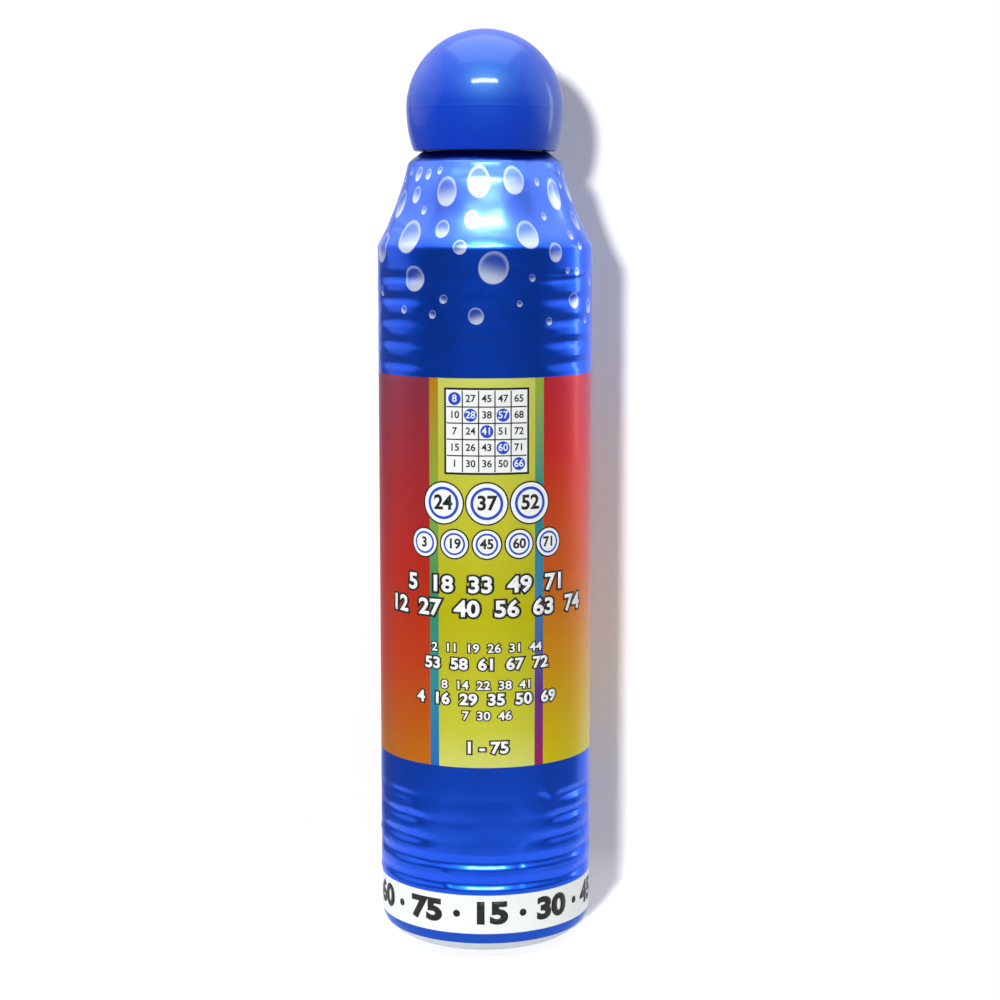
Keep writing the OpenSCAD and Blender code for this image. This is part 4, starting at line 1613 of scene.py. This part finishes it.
@dataclass
class Tip:
    """The foam tip and the cloth over it, in millimetres.

    The gathers' spans are heights over holder_z.
    """

    cloth_r: float = 7.62
    cloth_t: float = 0.35
    holder_z: float = 143.05
    sponge_z: float = 144.25
    top_z: float = 150.0
    edge_r: float = 3.5
    slack: float = 0.03
    crown: float = 0.2
    sides: int = 144
    gathers: int = 22
    gather_h: float = 0.05
    gather_rise: Span = (1.9, 2.6)
    gather_fall: Span = (3.0, 5.45)
    foam_sides: int = 96
    pit: float = 0.05
    pit_scale: float = 1.4

    @property
    def flat_r(self) -> float:
        """Radius of the tip's flat top."""
        return self.cloth_r - self.edge_r

    @property
    def edge_z(self) -> float:
        """Height at which the tip's side turns into its rounded edge."""
        return self.top_z - self.edge_r

    def outline(self, depth: float, foot: float) -> list[Point]:
        """Outline of the tip under some depth of skin, from its foot to the axis."""
        side = [(self.cloth_r - depth, z) for z in spaced(foot, self.edge_z, 0.4)]
        edge = moved_out(arc((self.flat_r, self.edge_z), self.edge_r - depth, 0, math.pi / 2, 14), 0)
        top = [(self.flat_r * (1 - i / 10), self.top_z - depth + self.crown * (1 - (1 - i / 10) ** 2))
               for i in range(1, 11)]
        return side + edge + top

    def cloth(self) -> None:
        """Draws the cloth over the foam, with faint gathers at its clamped edge."""
        outer = self.outline(0, self.holder_z)
        inner = self.outline(self.cloth_t, self.holder_z)[::-1]
        loop = outer + inner + [outer[0]]
        piece = Workbench.turned("tip_cover", loop, self.sides, sharp=60)
        points = Workbench.coordinates(piece)
        _, angle = Workbench.from_axis(points)
        up = points[:, 2] - self.holder_z
        low = softened(up, *self.gather_rise) * (1 - softened(up, *self.gather_fall))
        gather = self.gather_h * low * np.sin(self.gathers * angle + 1.5 * np.sin(3 * angle))
        points[:, :2] *= (1 + gather / self.cloth_r)[:, None]
        Workbench.reshape(piece, points)
        self.weave_map(piece)
        seat(piece, Body.TIP, Slot.CLOTH, ClothFinish().material(), "tip_cloth")

    def weave_map(self, piece: Piece) -> None:
        """Gives the cloth its own flat coordinates, in millimetres from its middle."""
        least = MM * MM
        points = Workbench.coordinates(piece)
        radius, _ = Workbench.from_axis(points)
        rise = points[:, 2] - self.edge_z
        bend = np.arctan2(np.maximum(radius - self.flat_r, 0), np.maximum(rise, least))
        run = np.minimum(radius, self.flat_r) + self.edge_r * bend + np.maximum(-rise, 0)
        flat = points[:, :2] * (run / np.maximum(radius, least))[:, None]
        Workbench.corner_map(piece, "weave", flat[Workbench.face_corners(piece)])

    def foam(self) -> None:
        """Cuts the foam pad, with an uneven skin."""
        depth = self.cloth_t + self.slack
        section = [(0.0, self.sponge_z), *self.outline(depth, self.sponge_z)]
        piece = Workbench.turned("tip_foam", section, self.foam_sides)
        points = Workbench.coordinates(piece)
        pits = np.fromiter((noise.noise(tuple(p * self.pit_scale)) for p in points), float, len(points))
        radius, _ = Workbench.from_axis(points)
        shrink = 1 - self.pit * np.abs(pits) / self.cloth_r * (radius > 1)
        points[:, :2] *= shrink[:, None]
        Workbench.reshape(piece, points)
        finish = SolidFinish("ink_foam", "3a58c8", rough=0.9, shade=0.7, scuff=0.05, grain=1500,
                             depth=0.15)
        seat(piece, Body.TIP, Slot.SPONGE, finish.material(), "tip_sponge")

    def build(self) -> None:
        """Builds the foam and the cloth."""
        self.foam()
        self.cloth()


@dataclass
class Cap:
    """The ball-shaped cap, its thread and its soft liner, in millimetres."""

    radius: float = 13.1
    foot_r: float = 11.9
    foot_z: float = 133.7
    equator_z: float = 140.7
    bore_r: float = 10.5
    ledge_z: float = 142.4
    throat_r: float = 9.1
    dome_in_r: float = 11.3
    chamfer: float = 0.3
    foot_edge: tuple[Point, Point] = ((0.18, 0.0), (0.04, 0.05))
    parting_h: float = 0.012
    parting_w: float = 0.12
    liner_foot: float = 141.4
    bead_l: float = 0.6
    bead_h: float = 0.3
    liner_r: float = 10.4
    liner_in_r: float = 8.8
    liner_edge: float = 0.2
    liner_sides: int = 128
    sides: int = 192

    def outside(self) -> list[Point]:
        """Outer outline, from the foot over the parting line to the top."""
        rise = self.equator_z - self.foot_z
        bulge = self.radius - self.foot_r
        big = (rise ** 2 + bulge ** 2) / (2 * bulge)
        foot = -math.asin(rise / big)
        skirt = moved_out(arc((self.radius - big, self.equator_z), big, foot, 0, 14), 0)
        dome = moved_out(arc((0, self.equator_z), self.radius, 0, math.pi / 2, 44), 0)
        proud, w, z = self.radius + self.parting_h, self.parting_w, self.equator_z
        ridge = [(self.radius, z - w), (proud, z - w / 3), (proud, z + w / 3), (self.radius, z + w)]
        edge = [(self.foot_r - back, self.foot_z + up) for back, up in self.foot_edge]
        return edge + skirt[1:-1] + ridge + dome[1:]

    def inside(self) -> list[Point]:
        """Inner outline, from the dome down past the liner's seat to the mouth."""
        start = math.acos(self.throat_r / self.dome_in_r)
        dome = moved_out(arc((0, self.equator_z), self.dome_in_r, math.pi / 2, start, 30), 0)
        return dome + [
            (self.throat_r, self.ledge_z), (self.bore_r, self.ledge_z), (self.bore_r, self.liner_foot),
            (self.bore_r - self.bead_h, self.liner_foot - self.bead_l / 2),
            (self.bore_r, self.liner_foot - self.bead_l), (self.bore_r, self.foot_z + self.chamfer),
            (self.bore_r + self.chamfer, self.foot_z)]

    def build(self) -> None:
        """Builds the cap, its thread and the liner."""
        finish = SolidFinish("glossy_blue_plastic", "0032c2", rough=0.48, shade=0.08, scuff=0.06,
                             grain=1600, depth=0.0015, coat=0.28, coat_rough=0.1, gloss=0.55,
                             gloss_tint="95ffff")
        shell = Workbench.turned("cap_ball", self.outside() + self.inside(), self.sides, closed=True,
                                 sharp=30)
        seat(shell, Body.CAP, Slot.CAP, finish.material(), "cap_shell")
        ridge = THREAD.ridge("cap_thread", THREAD.cap_root_r, THREAD.cap_crest_r,
                             THREAD.start_z + THREAD.lead / 2)
        seat(ridge, Body.CAP, Slot.CAP, finish.material())
        foot, top, soft = self.liner_foot, self.ledge_z, self.liner_edge
        inner = [(self.liner_in_r + soft, foot), (self.liner_in_r, foot + soft),
                 (self.liner_in_r, top - soft), (self.liner_in_r + soft, top)]
        section = inner + [(self.liner_in_r + self.liner_r - r, z) for r, z in reversed(inner)]
        disc = Workbench.turned("seal_ring", section, self.liner_sides, closed=True, sharp=50)
        foam = SolidFinish("foamed_liner", "e6e6df", rough=0.7, shade=0.3, grain=3500, depth=0.02)
        seat(disc, Body.LINER, Slot.LINER, foam.material(), "cap_liner")


# Studio


def placed(name: str, data: bpy.types.ID) -> bpy.types.Object:
    """Puts a new lamp or camera into the scene."""
    made = bpy.data.objects.new(name, data)
    bpy.context.scene.collection.objects.link(made)
    return made


def grey(share: float, blue: float | None = None) -> tuple[float, float, float, float]:
    """Linear grey, with a blue of its own if asked."""
    return (share, share, share if blue is None else blue, 1.0)


@dataclass(frozen=True)
class Lamp:
    """A soft lamp that faces a point on the dauber.

    Angles are in degrees, azimuth from the front towards +X, and sizes in metres.
    """

    name: str
    azimuth: float
    elevation: float
    distance: float
    wide: float
    tall: float
    power: float
    colour: tuple[float, float, float] = (1, 1, 1)
    gleam_only: bool = False
    rounded: bool = False
    aim: float = 0.12

    def build(self) -> None:
        """Hangs the lamp."""
        data = bpy.data.lights.new(self.name, "AREA")
        data.shape = "ELLIPSE" if self.rounded else "RECTANGLE"
        data.size, data.size_y = self.wide, self.tall
        data.energy = self.power
        data.color = self.colour
        lamp = placed(self.name, data)
        side, up = math.radians(self.azimuth), math.radians(self.elevation)
        back = Vector((math.sin(side) * math.cos(up), -math.cos(side) * math.cos(up), math.sin(up)))
        lamp.location = Vector((0, 0, self.aim)) + back * self.distance
        lamp.rotation_euler = back.to_track_quat("Z", "Y").to_euler()
        lamp.visible_camera = False
        lamp.visible_diffuse = not self.gleam_only


@dataclass
class Studio:
    """Camera, lamps, room, backdrop and the dark screen that the film's metal reflects."""

    lens: float = 78.88
    camera_y: float = -0.3709
    camera_z: float = 0.1237
    pitch: float = 7.5
    yaw: float = 0.392
    wall_y: float = 0.026
    wall_h: float = 0.2
    bend_r: float = 0.007
    paper_front: float = -0.13
    paper_front_fade: float = 0.11
    paper_right: float = 0.08
    paper_left: float = -0.04
    floor_spread: float = 0.042
    paper_fade: float = 0.02
    glow: float = 0.03
    floor_glow: float = 0.12
    screen_r: float = 1.25
    screen_half: float = math.radians(150)
    screen_top: float = 0.75
    screen_thins: float = 0.3
    screen_foot: float = -0.004
    sun_power: float = 2.5
    sun_spread: float = math.radians(5)
    sun_way: tuple[float, float, float] = (0.26, 1.0, -0.16)
    lamps: tuple[Lamp, ...] = (
        Lamp("window_bar", 0, 39, 2.5, 1.6, 0.26, 100.0, gleam_only=True),
        Lamp("ceiling", 0, 68, 1.3, 2.8, 1.5, 11.0, (0.6, 0.95, 1.0), gleam_only=True),
        Lamp("top_panel", 180, 80, 0.9, 1.0, 1.0, 9.5),
        Lamp("left_panel", -108, 20, 0.8, 1.1, 0.8, 2.2, (0.95, 0.97, 1.0), rounded=True),
        Lamp("right_panel", 104, 20, 0.8, 1.1, 0.8, 2.0, (0.95, 0.97, 1.0), rounded=True),
        Lamp("right_strip", 115, 5, 0.8, 0.12, 0.5, 1.0, gleam_only=True),
    )

    def camera(self) -> None:
        """Sets up the camera at the photograph's viewpoint."""
        data = bpy.data.cameras.new("camera")
        data.lens = self.lens
        data.sensor_width = 36
        eye = placed("camera", data)
        eye.location = (0, self.camera_y, self.camera_z)
        eye.rotation_euler = (math.radians(90 - self.pitch), 0, math.radians(-self.yaw))
        bpy.context.scene.camera = eye

    def sun(self) -> None:
        """Adds the light that casts the shadow to the right."""
        data = bpy.data.lights.new("shadow_light", "SUN")
        data.energy = self.sun_power
        data.angle = self.sun_spread
        light = placed("shadow_light", data)
        light.rotation_euler = Vector(self.sun_way).to_track_quat("-Z", "Y").to_euler()
        light.visible_glossy = False

    def world(self) -> None:
        """Lights the room: white where it is seen or reflected, and grey as a source of light."""
        room = bpy.data.worlds.new("room")
        bpy.context.scene.world = room
        room.use_nodes = True
        wiring = Wiring(room.node_tree)
        backdrop = room.node_tree.nodes["Background"]
        wiring.feed(backdrop.inputs["Color"], wiring.mix(self.seen(wiring), grey(0.2, 0.21), grey(1.0)))

    @staticmethod
    def seen(wiring: Wiring) -> Socket:
        """Mask of the rays that see the background: camera, glossy and transmission rays."""
        rays = wiring.add("LightPath").outputs
        shiny = wiring.math("MAXIMUM", rays["Is Glossy Ray"], rays["Is Transmission Ray"])
        return wiring.math("MAXIMUM", rays["Is Camera Ray"], shiny)

    def paper(self) -> Material:
        """Builds the backdrop's paper, white with the shadow left on it.

        Returns:
            The material.
        """
        made, wiring, shader = new_material("white_paper")
        fibre = wiring.noise(wiring.place(), 300, detail=2)
        wiring.fill(shader, {"Base Color": wiring.mix(fibre, grey(0.93), grey(0.96)),
                             "Roughness": 0.9, "Specular IOR Level": 0.0})
        axes = wiring.add("SeparateXYZ", {0: wiring.place()}).outputs
        floor = wiring.step(axes[2], self.bend_r, 0.0)
        strength = wiring.math("MULTIPLY_ADD", floor, self.floor_glow, self.glow)
        strength = wiring.math("MULTIPLY", self.seen(wiring), strength)
        glow = wiring.add("Emission", {"Strength": strength})
        lit = wiring.add("AddShader", {0: shader.outputs[0], 1: glow.outputs[0]})
        spread = wiring.math("MULTIPLY_ADD", floor, self.floor_spread, axes[0])
        whole = 1.0
        for place, edge, fade in ((spread, self.paper_left, self.paper_fade),
                                  (axes[0], self.paper_right, -self.paper_fade),
                                  (axes[1], self.paper_front, self.paper_front_fade),
                                  (axes[2], self.wall_h, -self.paper_fade)):
            whole = wiring.math("MULTIPLY", whole, wiring.step(place, edge, edge + fade))
        gone = wiring.math("MAXIMUM", wiring.add("NewGeometry").outputs["Backfacing"],
                           wiring.math("SUBTRACT", 1.0, whole))
        clear = wiring.add("BsdfTransparent")
        both = wiring.add("MixShader", {0: gone, 1: lit.outputs[0], 2: clear.outputs[0]})
        wiring.feed(made.node_tree.nodes["Material Output"].inputs["Surface"], both.outputs[0])
        return made

    def backdrop(self) -> None:
        """Stands the paper: a floor that turns up into a wall close behind the dauber."""
        left = self.paper_left - self.floor_spread
        depth, width = self.wall_y - self.paper_front, self.paper_right - left
        middle = ((self.paper_right + left) / 2, self.wall_y - depth / 2, 0)
        Workbench.clear()
        bpy.ops.mesh.primitive_plane_add(size=1, location=middle)
        sheet = bpy.context.object
        sheet.name = sheet.data.name = "paper_backdrop"
        sheet.scale = (width, depth, 1)
        bpy.ops.object.transform_apply(location=True, scale=True)
        back = {v.index for v in sheet.data.vertices if v.co.y > self.wall_y - MM}
        for face in sheet.data.polygons:
            face.select = False
        for edge in sheet.data.edges:
            edge.select = back.issuperset(edge.vertices)
        for vertex in sheet.data.vertices:
            vertex.select = vertex.index in back
        bpy.ops.object.mode_set(mode="EDIT")
        bpy.ops.mesh.select_mode(type="EDGE")
        bpy.ops.mesh.extrude_region_move(TRANSFORM_OT_translate={"value": (0, 0, self.wall_h)})
        bpy.ops.object.mode_set(mode="OBJECT")
        for vertex in sheet.data.vertices:
            vertex.select = vertex.co.z < MM and vertex.co.y > self.wall_y - MM
        bpy.ops.object.mode_set(mode="EDIT")
        bpy.ops.mesh.select_mode(type="EDGE")
        bpy.ops.mesh.bevel(offset=self.bend_r, segments=16)
        bpy.ops.mesh.select_all(action="SELECT")
        bpy.ops.mesh.normals_make_consistent(inside=False)
        bpy.ops.object.mode_set(mode="OBJECT")
        bpy.ops.object.shade_smooth()
        floor = max(sheet.data.polygons, key=lambda p: abs(p.normal.z) * p.area)
        if floor.normal.z < 0:
            sheet.data.flip_normals()
        sheet.data.materials.append(self.paper())

    def screen(self) -> None:
        """Stands the dark screen round the front, which the camera itself doesn't see."""
        Workbench.clear()
        bpy.ops.mesh.primitive_circle_add(vertices=96, radius=self.screen_r, fill_type="NGON",
                                          location=(0, 0, self.screen_foot))
        screen = bpy.context.object
        screen.name = screen.data.name = "dark_screen"
        bpy.ops.object.transform_apply(location=True)
        bpy.ops.object.mode_set(mode="EDIT")
        bpy.ops.mesh.select_all(action="SELECT")
        bpy.ops.mesh.extrude_region_move(
            TRANSFORM_OT_translate={"value": (0, 0, self.screen_top + 1)})
        bpy.ops.mesh.select_all(action="SELECT")
        bpy.ops.mesh.bisect(plane_co=(0, 0, self.screen_top), plane_no=(0, 0, 1), clear_outer=True)
        bpy.ops.mesh.select_all(action="SELECT")
        edge = -self.screen_r * math.cos(self.screen_half)
        bpy.ops.mesh.bisect(plane_co=(0, edge, 0), plane_no=(0, 1, 0), clear_outer=True)
        bpy.ops.object.mode_set(mode="OBJECT")
        made, wiring, shader = new_material("dark_cloth")
        tone = wiring.mix(wiring.noise(wiring.place(), 4), grey(0.12, 0.13), grey(0.2, 0.21))
        height = wiring.add("SeparateXYZ", {0: wiring.place()}).outputs[2]
        thin = wiring.step(height, self.screen_thins, self.screen_top)
        wiring.fill(shader, {"Base Color": tone, "Roughness": 0.95,
                             "Alpha": wiring.math("SUBTRACT", 1.0, thin)})
        screen.data.materials.append(made)
        screen.visible_camera = False
        screen.visible_shadow = False

    def build(self) -> None:
        """Builds the studio."""
        self.camera()
        self.sun()
        self.world()
        self.backdrop()
        self.screen()
        for lamp in self.lamps:
            lamp.build()
        bpy.context.scene.view_settings.view_transform = "Standard"


def main() -> None:
    """Builds the dauber's looks and its studio."""
    logging.basicConfig(level=logging.INFO, format="%(message)s")
    moulded_group()
    wrap_group()
    for part in (Shell(), Applicator(), Tip(), Cap(), Studio()):
        part.build()
        log.info("%s is ready", type(part).__name__)


if __name__ == "__main__":
    main()
